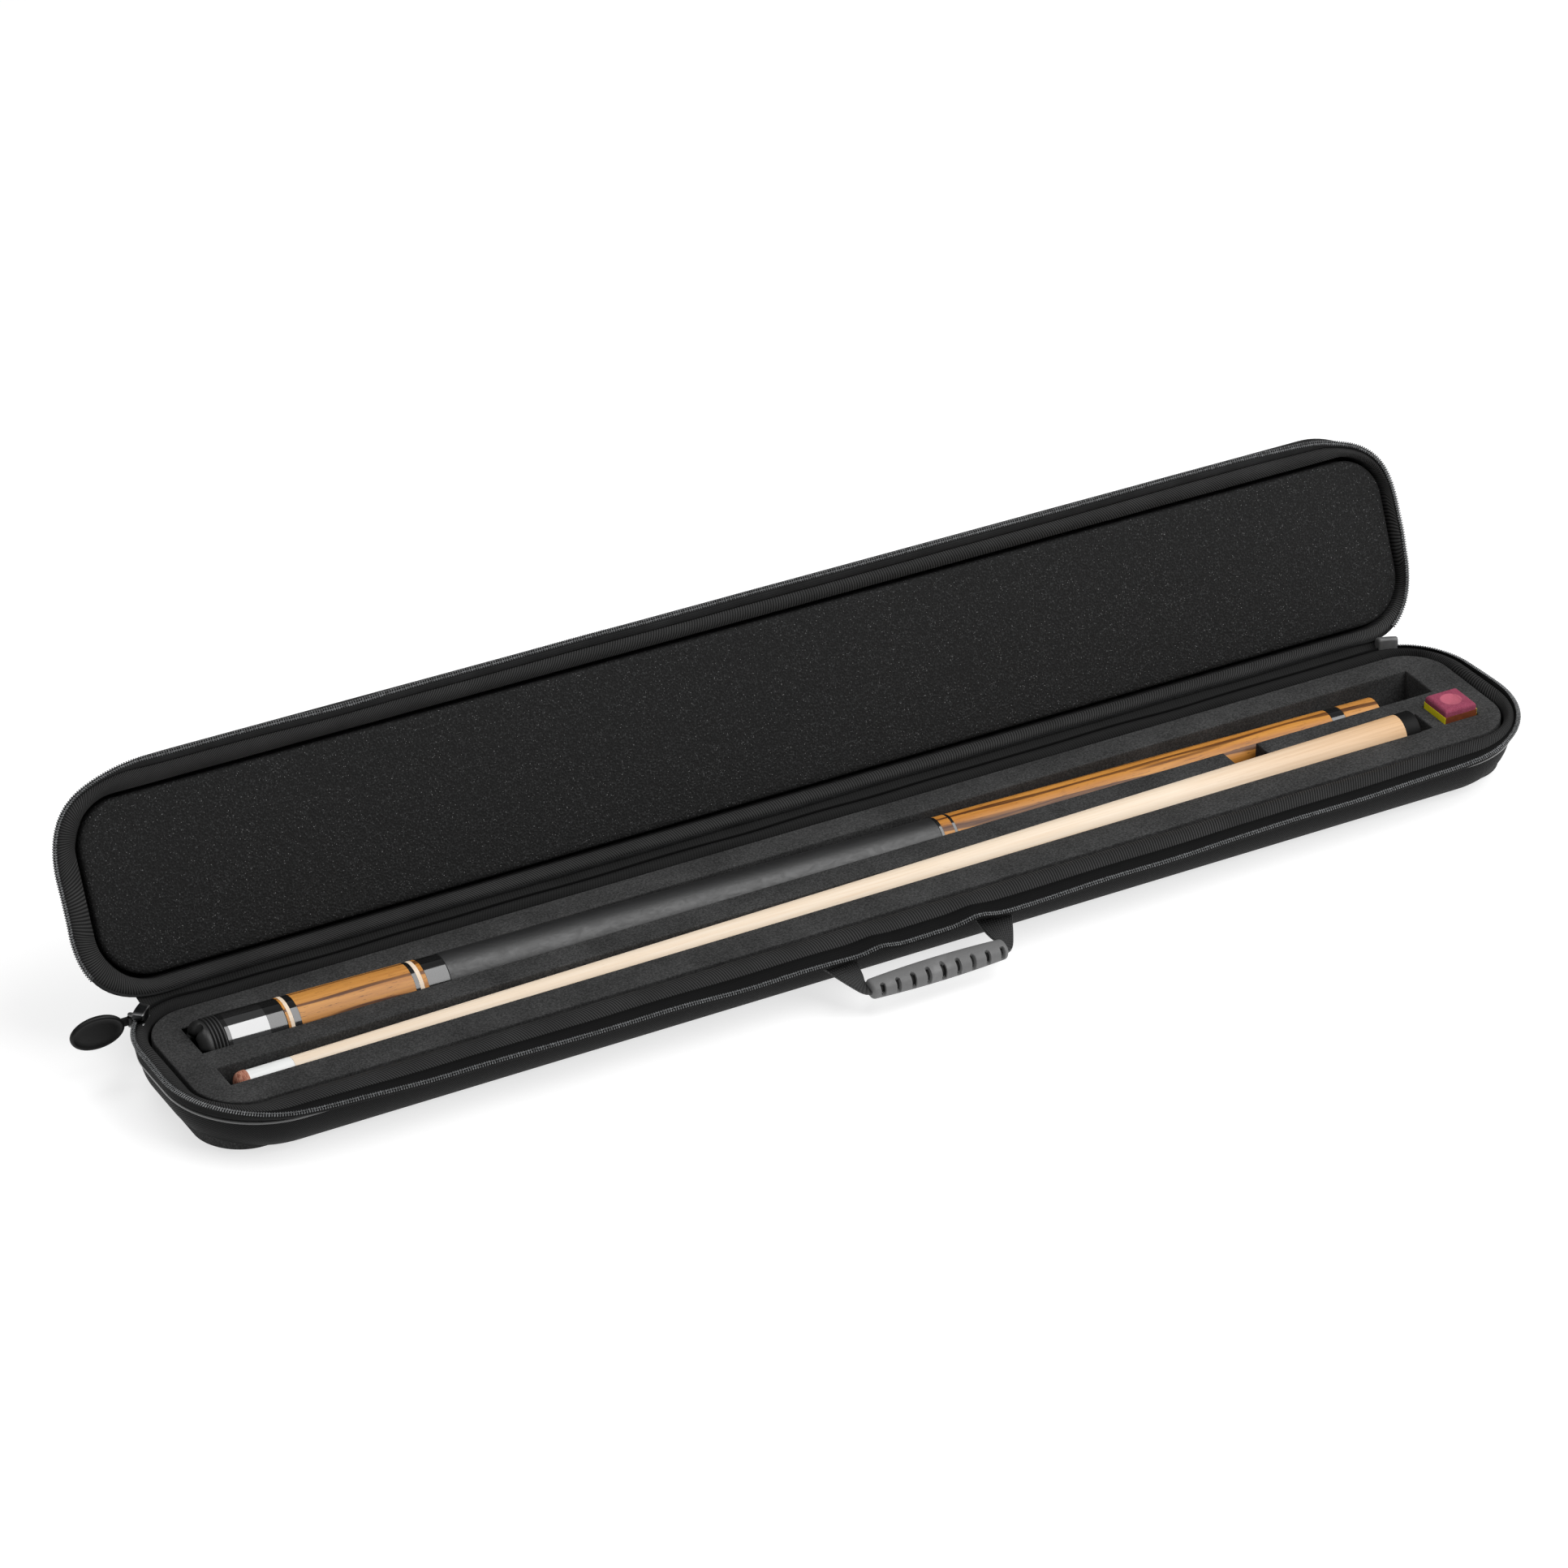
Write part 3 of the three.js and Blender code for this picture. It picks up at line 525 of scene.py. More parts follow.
def webbing():
    """Coarse plain-woven strap."""
    s = Shader("strap_webbing", grey(0.012), 0.75, Sheen_Weight=0.2)
    across = s.bands(s.place(uv=True), 0.24, "X", 0.2)
    lengthwise = s.bands(s.place(uv=True), 0.28, "Y", 0.2)
    weave = s.times(across, lengthwise)
    s.colour(s.mix(weave, grey(0.004), grey(0.04, COOL)))
    s.bump(weave, 0.35, 0.9)
    return s.material


def lacquer(name, smears, detail, high, roughness, coat_roughness, **sockets):
    """Black gloss under a clear coat, dulled here and there by long smears."""
    s = Shader(name, grey(0.004), roughness, Coat_Weight=1.0, Coat_Roughness=coat_roughness, **sockets)
    smear = s.noise(s.place(smears), 1.0, detail)
    s.colour(s.mix(smear, grey(0.003), grey(high)))
    return s, smear


def gloss_black():
    """Black lacquer with the faintest orange peel."""
    s, smear = lacquer("gloss_black", (0.02, 0.3, 0.3), 4, 0.006, 0.09, 0.03, Specular_IOR_Level=0.6)
    s.rough(smear, 0.3, 0.8, 0.06, 0.2)
    s.bump(s.noise(s.place(), 0.25, 2), 0.01, 0.3)
    return s.material


def film():
    """A plain clear label wrapped round the black cap: a hard, bright gloss."""
    s, smear = lacquer("clear_film", (0.05, 0.4, 0.4), 3, 0.007, 0.05, 0.02, IOR=2.3, Coat_IOR=1.9)
    s.rough(smear, 0.3, 0.8, 0.04, 0.12)
    s.bump(smear, 0.01, 0.2)
    return s.material


def striped_wood(name, shift, pale):
    """Golden wood with wandering dark stripes along the cue, short pores and a clear finish."""
    s = Shader(name, (0.45, 0.2, 0.05), 0.38, Coat_Weight=0.15, Coat_Roughness=0.3, Specular_IOR_Level=0.35)
    long = s.place((0.004, 0.085, 0.085), (0.0, 0.0, 0.016 + shift))
    figure = s.noise(long, 1.6, 4, 0.5, 0.6)
    stripes = s.bands(s.place((0.0035, 0.055, 0.04), (0.35, 0.0, 0.014 + shift)), 0.85, "Y", 9.0)
    grain = s.noise(s.place((0.02, 0.9, 0.9)), 1.0, 4, 0.6)
    pores = s.noise(s.place((0.12, 1.3, 1.3)), 1.1, 3, 0.7)
    base = s.ramp(figure, (0.25, (0.26, 0.085, 0.010)), (0.45, (0.44, 0.16, 0.020)),
                  (0.62, (0.60, 0.26, 0.045)), (0.8, (0.38, 0.13, 0.016)))
    base = s.mix(s.remap(grain, 0.3, 0.7, 0, 0.45), base, (0.68, 0.32, 0.070))
    # Mixing towards pale tan by `pale` is painted highlight.
    base = s.mix(pale, base, (0.74, 0.46, 0.26))
    dark = s.remap(stripes, 0.74, 0.90)
    base = s.mix(s.times(dark, s.remap(grain, 0.25, 0.6, 0.55, 1.0)), base, (0.075, 0.022, 0.006))
    flecks = s.remap(pores, 0.60, 0.68)
    s.colour(s.mix(s.times(flecks, 0.75), base, (0.09, 0.03, 0.008)))
    s.rough(grain, 0.3, 0.7, 0.36, 0.5)
    s.bump(grain, 0.02, 0.3)
    return s.material


def maple():
    """Pale hard wood, warmer towards the joint end, with hair-fine grain and a satin seal."""
    s = Shader("maple", (0.82, 0.63, 0.42), 0.5, Specular_IOR_Level=0.3)
    grain = s.noise(s.place((0.012, 0.7, 0.7)), 1.0, 4, 0.6, 0.3)
    flecks = s.noise(s.place((0.1, 1.5, 1.5)), 1.0, 3)
    figure = s.noise(s.place((0.004, 0.12, 0.12)), 1.0, 3)
    east = s.node("SeparateXYZ", Vector=s.place()).outputs[0]
    warm = s.remap(east, 190, 350)
    pale = s.mix(s.remap(grain, 0.3, 0.75), (0.92, 0.79, 0.64), (0.84, 0.66, 0.48))
    tan = s.mix(s.remap(grain, 0.3, 0.75), (0.72, 0.43, 0.20), (0.56, 0.30, 0.12))
    base = s.mix(s.times(warm, s.remap(figure, 0.2, 0.6, 0.7, 1.0)), pale, tan)
    s.colour(s.mix(s.remap(flecks, 0.66, 0.78, 0, 0.35), base, (0.5, 0.3, 0.14)))
    s.bump(grain, 0.015, 0.3)
    return s.material


def leather_wrap():
    """Pressed grain of the grip wrap."""
    s = Shader("grip_wrap", grey(0.015), 0.5, Specular_IOR_Level=0.9)
    pebble = s.cells(s.place((1, 1, 1)), 0.75)["Distance"]
    crease = s.noise(s.place((0.5, 1, 1)), 0.28, 5, 0.65, 1.2)
    cloud = s.noise(s.place((0.02, 0.08, 0.08)), 1.0, 4)
    s.colour(s.ramp(s.plus(s.times(crease, 0.6), s.times(cloud, 0.4)),
                    (0.3, grey(0.003)), (0.5, grey(0.007, COOL)), (0.7, grey(0.015, COOL))))
    s.rough(crease, 0.3, 0.7, 0.58, 0.42)
    s.bump(pebble, 0.06, 0.5)
    s.bump(crease, 0.12, 0.5)
    return s.material


def metal(name, tone, roughness, tint=(1, 1, 1), wear=0.6):
    """Turned metal, brighter along its edges."""
    s = Shader(name, grey(tone, tint), roughness, Metallic=1.0)
    turned = s.noise(s.place((1.5, 0.2, 0.2)), 1.0, 3)
    edge = s.node("NewGeometry").outputs["Pointiness"]
    wear_and_painted_light = s.times(s.remap(edge, 0.53, 0.62), wear)
    s.colour(s.mix(wear_and_painted_light, s.mix(turned, grey(tone * 0.8, tint), grey(tone * 1.1, tint)), grey(0.75)))
    s.rough(turned, 0.3, 0.7, roughness - 0.06, roughness + 0.12)
    s.bump(turned, 0.02, 0.4)
    return s.material


def ferrule():
    """White resin, faintly stained along its length."""
    s = Shader("ferrule", (0.8, 0.81, 0.8), 0.4)
    stain = s.noise(s.place((0.05, 0.3, 0.3)), 1.0, 4)
    s.colour(s.mix(s.remap(stain, 0.45, 0.8), (0.88, 0.89, 0.88), (0.72, 0.73, 0.72)))
    s.bump(s.noise(s.place((2, 0.1, 0.1)), 1.0, 2), 0.01, 0.4)
    return s.material


def tip_leather():
    """Layered leather with a fibrous, mottled side."""
    s = Shader("tip_leather", (0.35, 0.12, 0.07), 0.8)
    fibre = s.noise(s.place((1.6, 0.5, 0.5)), 0.7, 4, 0.7)
    s.colour(s.ramp(fibre, (0.3, (0.13, 0.03, 0.018)), (0.5, (0.38, 0.14, 0.085)), (0.7, (0.68, 0.40, 0.29))))
    s.bump(fibre, 0.2, 0.8)
    return s.material


def chalk():
    """Powdery cube: darker outside, worn to a bright pink dimple."""
    top, dimple, dimple_radius = high("chalk_block", 2), CHALK_AT, 6.65
    s = Shader("chalk", (0.3, 0.05, 0.1), 0.95, Specular_IOR_Level=0.15)
    xyz = s.node("SeparateXYZ", Vector=s.place())
    dx, dy = (s.math("SUBTRACT", xyz.outputs[i], dimple[i]) for i in (0, 1))
    reach = s.math("SQRT", s.plus(s.times(dx, dx), s.times(dy, dy)))
    grain = s.noise(s.place(), 1.3, 4, 0.7)
    cloud = s.noise(s.place(), 0.16, 4)
    up = s.remap(xyz.outputs[2], top - 1.7, top - 1.2)
    ragged = s.plus(reach, s.times(grain, 0.9))
    in_dimple = s.times(s.remap(ragged, dimple_radius + 0.35, dimple_radius - 0.35), up)
    side = s.mix(cloud, (0.20, 0.030, 0.062), (0.30, 0.058, 0.105))
    powder = s.mix(s.remap(grain, 0.4, 0.75, 0, 0.5), side, (0.42, 0.13, 0.19))
    s.colour(s.mix(in_dimple, powder, s.mix(grain, (0.41, 0.09, 0.14), (0.50, 0.135, 0.185))))
    s.bump(grain, 0.15, 0.8)
    s.bump(cloud, 0.3, 0.4)
    return s.material


def chalk_label(name, colour, shade):
    """Printed paper, mottled and finely fibrous."""
    s = Shader(name, colour, 0.5)
    mottled = s.noise(s.place(), 0.35, 4)
    fibre = s.noise(s.place((0.4, 0.4, 3)), 1.0, 2)
    s.colour(s.mix(s.remap(mottled, 0.35, 0.75), colour, shade))
    s.bump(fibre, 0.04, 0.5)
    return s.material


# Each look is a material and the slot that its pieces fill.
LOOK = dict(
    # lining and lid_lining: their last two numbers set painted shade at the hinge and painted light at the
    # right end.
    nylon=(nylon(), "shell_nylon"), lining=(ribbed("lining_knit", 0.2, 1.0), "lining"),
    # tape and lid_tape: one zip tape, darker in the base for painted shade and lighter in the lid for painted
    # light.
    lid_lining=(ribbed("lid_lining_knit", 1.0, 2.0), "lining"), tape=(tape("zip_tape", 0.006), "zip_tape"),
    lid_tape=(tape("lid_zip_tape", 0.045), "zip_tape"), coil=(coil(), "zip_coil"),
    piping=(piping(), "piping"), foam=(eva_foam(), "foam"), sponge=(sponge(), "sponge"),
    webbing=(webbing(), "webbing"),
    gloss=(gloss_black(), "gloss_black"), film=(film(), "gloss_black"),
    wood=(striped_wood("striped_wood", 0.0, 0.0), "striped_wood"),
    # The sleeves' copy of the wood is paler by `pale`: painted highlight.
    sleeve_wood=(striped_wood("striped_wood_sleeve", 0.035, 0.06), "striped_wood"),
    maple=(maple(), "maple"), wrap=(leather_wrap(), "wrap"),
    rubber=(moulded("black_rubber", 0.014, 0.5, 0.5, Specular_IOR_Level=0.5), "black_rubber"),
    pull=(moulded("pull_rubber", 0.004, 0.42, 0.5, Specular_IOR_Level=0.25), "black_rubber"),
    grip=(moulded("grip_rubber", 0.15, 0.6, 0.3, 0.8), "grip_rubber"),
    collar=(moulded("collar_black", 0.003, 0.5, 0.1, Specular_IOR_Level=0.15), "gloss_black"),
    # Near-black colour for the grip's slots: painted shade.
    slot_painted_shade=(moulded("grip_slot_painted_shade", 0.004, 0.7), "grip_rubber"),
    stop=(moulded("end_stop_plastic", 0.11, 0.45, 0.5), "end_stop"),
    slider=(metal("slider_gunmetal", 0.035, 0.42, COOL, 0.7), "slider_metal"),
    steel=(metal("steel", 0.6, 0.22), "steel"), brass=(metal("brass", 0.6, 0.28, (1, 0.78, 0.42)), "brass"),
    ferrule=(ferrule(), "ferrule"), tip=(tip_leather(), "tip_leather"), chalk=(chalk(), "chalk"),
    yellow=(chalk_label("label_yellow", (0.78, 0.66, 0.012), (0.70, 0.58, 0.006)), "chalk_label"),
    brown=(chalk_label("label_brown", (0.16, 0.035, 0.006), (0.10, 0.02, 0.004)), "chalk_label"),
)


# ---- shells, piping and linings ------------------------------------------------------------------

RIM_POINTS, RIM_NORMALS = ring(RIM)
FOAM_POINTS, FOAM_NORMALS = ring(FOAM)
PAD_POINTS, PAD_NORMALS = ring(PAD)
PAD_SHIFT = (-1.2, 0.0)
PAD_POINTS = PAD_POINTS + PAD_SHIFT
X = RIM_POINTS[:, 0]

# How far the lid's soft edge is drawn in along its front.
LID_TUCK = along([(0, 0), (2.3, 0), (2.7, 1.1), (3, 1.3), (4, 1.3), (4.2, 2.2), (4.4, 1.6), (4.6, 0), (8, 0)])


def wall_profile(depth, offset, steps):
    """(outwards, depth) down a shell's wall and round its corner."""
    corner = depth - SHELL_EDGE - 0.3
    a = np.linspace(0, math.pi / 2, steps + 1)
    bend = [(-SHELL_INSET - corner + (corner - offset) * math.cos(t),
             depth - corner + (corner - offset) * math.sin(t)) for t in a]
    return [(-SHELL_INSET - offset, SHELL_EDGE), *bend]


def shell(name, depth, lid):
    """A moulded tray: outer skin, rolled edge and inner skin, down to the flat back."""
    side, base = (1, 0) if lid else (-1, RIM_HEIGHT)
    tuck = LID_TUCK[:, None] * lid

    def level(points, d):
        return np.c_[points, np.full(len(X), base + side * d)]

    walls = (wall_profile(depth, 0, 14), wall_profile(depth, SKIN, 8))
    outer, inner = ([level(RIM_POINTS + RIM_NORMALS * (o - tuck), d) for o, d in wall] for wall in walls)
    flat = to_middle(grown(RIM, -SHELL_INSET - (depth - SHELL_EDGE - 0.3)), (0.05, 0.3, 0.65, 0.97))
    back, front = ([level(p, d) for p in flat] for d in (depth, depth - SKIN))
    verts, faces, uvs = capped([*front[::-1], *inner[::-1], *outer, *back])
    mesh(name, verts, faces, "nylon", uvs=uvs, body=half(lid), replaces=(name.replace("_skin", ""),))


FLAT_OUT = np.c_[RIM_NORMALS, np.zeros(len(X))]
UP = np.tile([0.0, 0.0, 1.0], (len(X), 1))

# How far the soft zip band leans out past the rim, and how high its crest stands, round the base.
strap_push = 2.4 * np.exp(-((X + 27) / 9) ** 2) + 2.8 * np.exp(-((X - 34) / 10) ** 2)
strap_push = np.where((STATION >= 3) & (STATION <= 4), strap_push, 0)
BASE_FLARE = along([(0, -3.0), (0.4, -1.8), (0.8, -1.0), (1.5, 0.5), (2.2, 2.4), (2.6, 3.6), (3, 6.2),
                    (3.1, 8.4), (3.5, 12.2), (3.9, 9.4), (4, 6.4), (4.25, 3.2), (4.6, 1.9), (5.2, 2.0),
                    (6, 1.8), (6.5, 2.6), (6.8, 0.6), (7, -3.0), (8, -3.0)])
BASE_FLARE = BASE_FLARE + wander(RIM_POINTS, 0.35, 120, 3)
BASE_CREST = along([(0, 35.4), (0.5, 36.6), (1.5, 36.3), (2.3, 35.2), (3, 32.6), (3.1, 31.8), (3.5, 30.4),
                    (3.9, 31.6), (4, 32.6), (4.5, 34.6), (5.2, 36.2), (6.5, 36.4), (7, 35.4), (8, 35.4)])
BASE_CREST = BASE_CREST - 0.4 + strap_push + wander(RIM_POINTS, 0.25, 90, 5)
LID_FLARE = along([(0, -2), (0.3, 1), (0.5, -0.5), (0.85, -3.4), (1.5, -2), (2.1, -2.6), (2.35, 1),
                   (2.5, 0.2), (2.8, -4.6), (3, -3.4), (3.06, -1.4), (3.3, -2), (3.7, -1.3),
                   (3.85, -2.6), (3.95, -1.5), (4.05, -1.6), (4.15, -0.8), (4.38, 3), (4.55, 10), (4.7, 12.6),
                   (5, 11.2), (6, 11), (6.27, 12.4), (6.42, 11.5), (6.55, 8), (6.7, 3.6), (6.85, 0),
                   (7, -1.5), (8, -2)], reach=5)
LID_FLARE = LID_FLARE + wander(RIM_POINTS, 0.25, 130, 9)


def band_rows(inner, inner_normals, crest, groove, tops, fold_at, arch, hump, gap=1.7):
    """Rows of the padded lining roll, from the groove beside the foam to the seam at the zip tape, and a
    function for the height line between the band's inner edge (share 0) and its crest (share 1)."""
    start = np.c_[inner + inner_normals * gap, tops]
    deep = np.c_[inner + inner_normals * (gap - 0.4), np.full(len(inner), groove)]
    lift = np.c_[np.zeros((len(inner), 2)), np.ones(len(inner))]

    def at(share, extra=0.0):
        share, extra = np.asarray(share)[:, None], np.asarray(extra) * np.ones(len(inner))
        over = arch[:, None] * np.sin(math.pi * share)
        return start * (1 - share) + crest * share + lift * (over + extra[:, None])

    rows = [deep, start * 0.94 + deep * 0.06]
    for t in np.linspace(0, 1, 13):
        rows.append(at(fold_at * t, hump * math.sin(math.pi * t ** 0.8) - 0.7 * t ** 6))
    rows.append(at(fold_at * 1.03, -2.4))
    return rows, at


def tape_rows(at, fold_at, crest, hump, hang):
    """Rows of the zip tape from the seam up over its own soft hump to the teeth and down behind them."""
    rows = [at(fold_at * 1.01, -2.2)]
    for t in np.linspace(0, 1, 9):
        share = fold_at + (1 - fold_at) * (0.04 + 0.96 * t)
        rows.append(at(share, hump * math.sin(math.pi * t ** 0.7) - 0.8 * (1 - t) ** 4))
    return rows + [crest + np.c_[RIM_NORMALS * out, np.full(len(X), down)] for out, down in hang]


def base_band():
    """The padded lining roll and the zip tape of the base, down to the piping."""
    crest = np.c_[RIM_POINTS + RIM_NORMALS * BASE_FLARE[:, None], BASE_CREST]
    tops = along([(0, 31.2), (3, 31.8), (4, 31.8), (5, 31.5), (8, 31.2)])
    fold_at = along([(0, 0.84), (0.4, 0.78), (1, 0.76), (2, 0.7), (3, 0.58), (3.5, 0.54), (4, 0.58),
                     (4.5, 0.74), (5, 0.8), (6, 0.8), (6.6, 0.8), (7, 0.88), (8, 0.88)])
    arch = along([(0, 0.6), (1, 0.2), (2, 0.6), (3, 1.6), (4, 1.6), (5, 0.2), (6, 0.2), (7, 0.6), (8, 0.6)])
    hump = along([(0, 1.5), (3, 1.7), (4, 1.7), (5, 1.3), (6, 1.3), (8, 1.5)])
    hump = hump + wander(RIM_POINTS, 0.3, 70, 11)
    rows, at = band_rows(FOAM_POINTS, FOAM_NORMALS, crest, 20.0, tops, fold_at, arch, hump)
    closed_skin("base_lining_roll", rows, "lining", False, "base_lining", inset=1.2)
    rows = tape_rows(at, fold_at, crest, 0.7, [(-0.1, -1.2), (-0.9, -2.6)])
    foot = np.c_[RIM_POINTS + RIM_NORMALS * 0.2, np.full(len(X), RIM_HEIGHT - 8.6)]
    knee = rows[-1] * 0.45 + foot * 0.55 + np.c_[RIM_NORMALS * 0.5, np.zeros(len(X))]
    rows += [knee, foot, np.c_[RIM_POINTS - RIM_NORMALS * 1.0, np.full(len(X), RIM_HEIGHT - 9.2)]]
    closed_skin("base_zip_tape", rows, "tape", False, "base_zipper_tape", inset=0.8)
    return crest


def closed_skin(name, rows, look, lid, replaces, inset):
    """A sheet through rows, given a thickness on its hidden side so that it is a closed body."""
    rows = np.asarray(rows, float)
    run = np.roll(rows, -1, 1) - np.roll(rows, 1, 1)
    across = np.gradient(rows, axis=0)
    n = np.cross(run, across)
    n /= np.maximum(np.linalg.norm(n, axis=2, keepdims=True), 1e-9)
    if n[..., 2].mean() < 0:
        n = -n
    both = np.concatenate([rows, (rows - n * inset)[::-1]])
    closed(name, both * (1, 1, -1 if lid else 1), look, lid, replaces=(replaces,))


def lid_band():
    """The same band in the lid. Its heights are negative depths, so it is made as the base's is."""
    crest = np.c_[RIM_POINTS + RIM_NORMALS * LID_FLARE[:, None],
                  along([(0, -1.7), (0.6, -1.0), (6.5, -1.0), (7, -1.8), (8, -1.8)])]
    tops = np.full(len(X), -PAD_RECESS - 0.6)
    fold_at = along([(0, 0.88), (0.8, 0.8), (2, 0.72), (3, 0.58), (3.5, 0.52), (4, 0.62), (4.6, 0.78),
                     (6, 0.8), (6.6, 0.86), (7, 0.92), (8, 0.92)])
    arch = along([(0, 0.4), (3, 0.5), (4, 0.5), (8, 0.4)])
    hump = along([(0, 1.1), (3, 1.5), (4, 1.5), (8, 1.1)]) + wander(RIM_POINTS, 0.2, 80, 13)
    rows, at = band_rows(PAD_POINTS, PAD_NORMALS, crest, -14.0, tops, fold_at, arch, hump, 2.6)
    closed_skin("lid_lining_roll", rows, "lid_lining", True, "lid_lining", inset=1.2)
    rows = tape_rows(at, fold_at, crest, 0.5, [(-0.5, -1.8)])
    foot = np.c_[RIM_POINTS - RIM_NORMALS * (1.2 + LID_TUCK[:, None]), np.full(len(X), -8.6)]
    rows += [rows[-1] * 0.5 + foot * 0.5, foot, foot - np.c_[RIM_NORMALS, np.full(len(X), 0.6)]]
    closed_skin("lid_zip_tape", rows, "lid_tape", True, "lid_zipper_tape", inset=0.8)
    return crest


def pipe(name, lid):
    """Piping sewn between the shell's edge and the zip band."""
    radius, sides, below_rim = 1.35, 12, 10.2
    level = np.full(len(X), below_rim if lid else RIM_HEIGHT - below_rim)
    inset = (2.2 if lid else 0.9) + LID_TUCK[:, None] * lid
    rail = np.c_[RIM_POINTS - RIM_NORMALS * inset, level]
    rows = [rail + FLAT_OUT * radius * math.cos(a) + UP * radius * math.sin(a)
            for a in np.linspace(0, 2 * math.pi, sides, endpoint=False)]
    closed(name, rows, "piping", lid, replaces=(name.replace("_cord", ""),))


# ---- zip teeth -----------------------------------------------------------------------------------

def tooth():
    """One turn of the coil, as coordinates and faces: a flattened loop with a round head that points
    outwards."""
    stations = [(-2.0, 0.22, 0.18), (-1.85, 0.33, 0.30), (-1.0, 0.31, 0.32), (-0.35, 0.31, 0.36),
                (0.05, 0.44, 0.52), (0.45, 0.43, 0.48), (0.75, 0.24, 0.26)]
    a = np.linspace(0, 2 * math.pi, 6, endpoint=False) + 0.5
    verts, faces = loft([np.c_[np.full(6, out), half_width * np.cos(a), half_height * np.sin(a)]
                         for out, half_width, half_height in stations])
    return verts.T, faces


def zip_track(name, crest, first, last, lid):
    """Coil teeth at an even pitch along the crest between two stations, by way of the front."""
    keep = (STATION >= first) & (STATION <= last)
    line_points, outs = crest[keep], RIM_NORMALS[keep]
    s = np.r_[0, np.cumsum(np.linalg.norm(np.diff(line_points, axis=0), axis=1))]
    count = int(s[-1] / TOOTH_PITCH)
    at = np.linspace(0, s[-1], count)
    places = np.stack([np.interp(at, s, line_points[:, i]) for i in range(3)], -1)
    out = np.stack([np.interp(at, s, outs[:, i]) for i in range(2)] + [np.zeros(count)], -1)
    out /= np.linalg.norm(out, axis=1, keepdims=True)
    run = np.gradient(places, axis=0)
    run /= np.linalg.norm(run, axis=1, keepdims=True)
    lean = 0.15 if lid else 0.30
    out = out * math.cos(lean) + (0, 0, 0 if lid else -math.sin(lean))
    up = np.cross(out, run)
    up *= np.sign(up[:, 2:3])
    (x, y, z), tooth_faces = tooth()
    slant, raised = 0.16, 0.35
    x, y, z = x[:, None], (y + slant * x)[:, None], z[:, None] + raised
    verts = np.vstack([places[i] + x * out[i] + y * run[i] + z * up[i] for i in range(count)])
    faces = [[j + len(x) * i for j in f] for i in range(count) for f in tooth_faces]
    # A sewn cord runs along the middle of the coil and holds it to the tape.
    cord_rail = places + out * -1.1 + up * 0.5
    cord = [cord_rail + out * 0.26 * math.cos(a) + up * 0.2 * math.sin(a)
            for a in np.linspace(0, 2 * math.pi, 6, endpoint=False)]
    cord_verts, cord_faces, _ = grid(np.array(cord), wrap_rows=True, wrap_cols=False, cap_ends=True)
    verts, faces = join([(v, outward(v, f)[0]) for v, f in ((verts, faces), (cord_verts, cord_faces))])
    mesh(name, verts * (1, 1, -1 if lid else 1), faces, "coil", body=half(lid),
         replaces=(name.replace("_coil", "_teeth"),))


shell("base_shell_skin", RIM_HEIGHT, False)
shell("lid_shell_skin", LID_DEPTH, True)
pipe("base_piping_cord", False)
pipe("lid_piping_cord", True)
base_crest = base_band()
lid_crest = lid_band()
zip_track("base_zipper_coil", base_crest, 0.26, 6.6, False)
zip_track("lid_zipper_coil", lid_crest, 0.35, 6.36, True)


# ---- foam insert ---------------------------------------------------------------------------------

BUTT = dict(y=20.85, z=22.54, droop=math.radians(0.644), thin=10.7, thick=14.9, thin_end=352.0,
            thick_end=-350.0)
SHAFT = dict(y=-18.1, z=27.7, rise=math.radians(0.36), tip=6.1, joint=10.7, taper=-345.0, joint_end=352.0)
BUTT_SLOT = dict(left=-389.1, right=384.0, front=7.2, rear=34.5, floor=7.5)
SHAFT_SLOT = dict(left=-388.8, right=361.2, front=-27.0, rear=-9.2, floor=17.0)
NOTCH = (242.4, 264.4)
CHALK_POCKET = dict(half=11.35, floor=18.0)


def butt_radius(x):
    t = (x - BUTT["thin_end"]) / (BUTT["thick_end"] - BUTT["thin_end"])
    return BUTT["thin"] + (BUTT["thick"] - BUTT["thin"]) * t


def shaft_radius(x):
    t = np.clip((x - SHAFT["taper"]) / (SHAFT["joint_end"] - SHAFT["taper"]), 0, 1)
    return SHAFT["tip"] + (SHAFT["joint"] - SHAFT["tip"]) * t


def dense(corners, spacing=9.0):
    """Points along a closed polygon, corners included."""
    out = []
    for p, q in zip(corners, corners[1:] + corners[:1]):
        n = max(1, int(math.dist(p, q) / spacing))
        out += [tuple(np.array(p) + (np.array(q) - np.array(p)) * i / n) for i in range(n)]
    return np.array(out)


def shifted(points, by):
    """A closed polygon moved outwards by `by`, with its corners kept sharp."""
    d = np.roll(points, -1, 0) - points
    d /= np.linalg.norm(d, axis=1, keepdims=True)
    n = np.c_[d[:, 1], -d[:, 0]]
    area = np.sum(points[:, 0] * np.roll(points[:, 1], -1) - np.roll(points[:, 0], -1) * points[:, 1])
    n = n if area > 0 else -n
    before = np.roll(n, 1, 0)
    return points + (n + before) / (1 + np.sum(n * before, 1))[:, None] * by


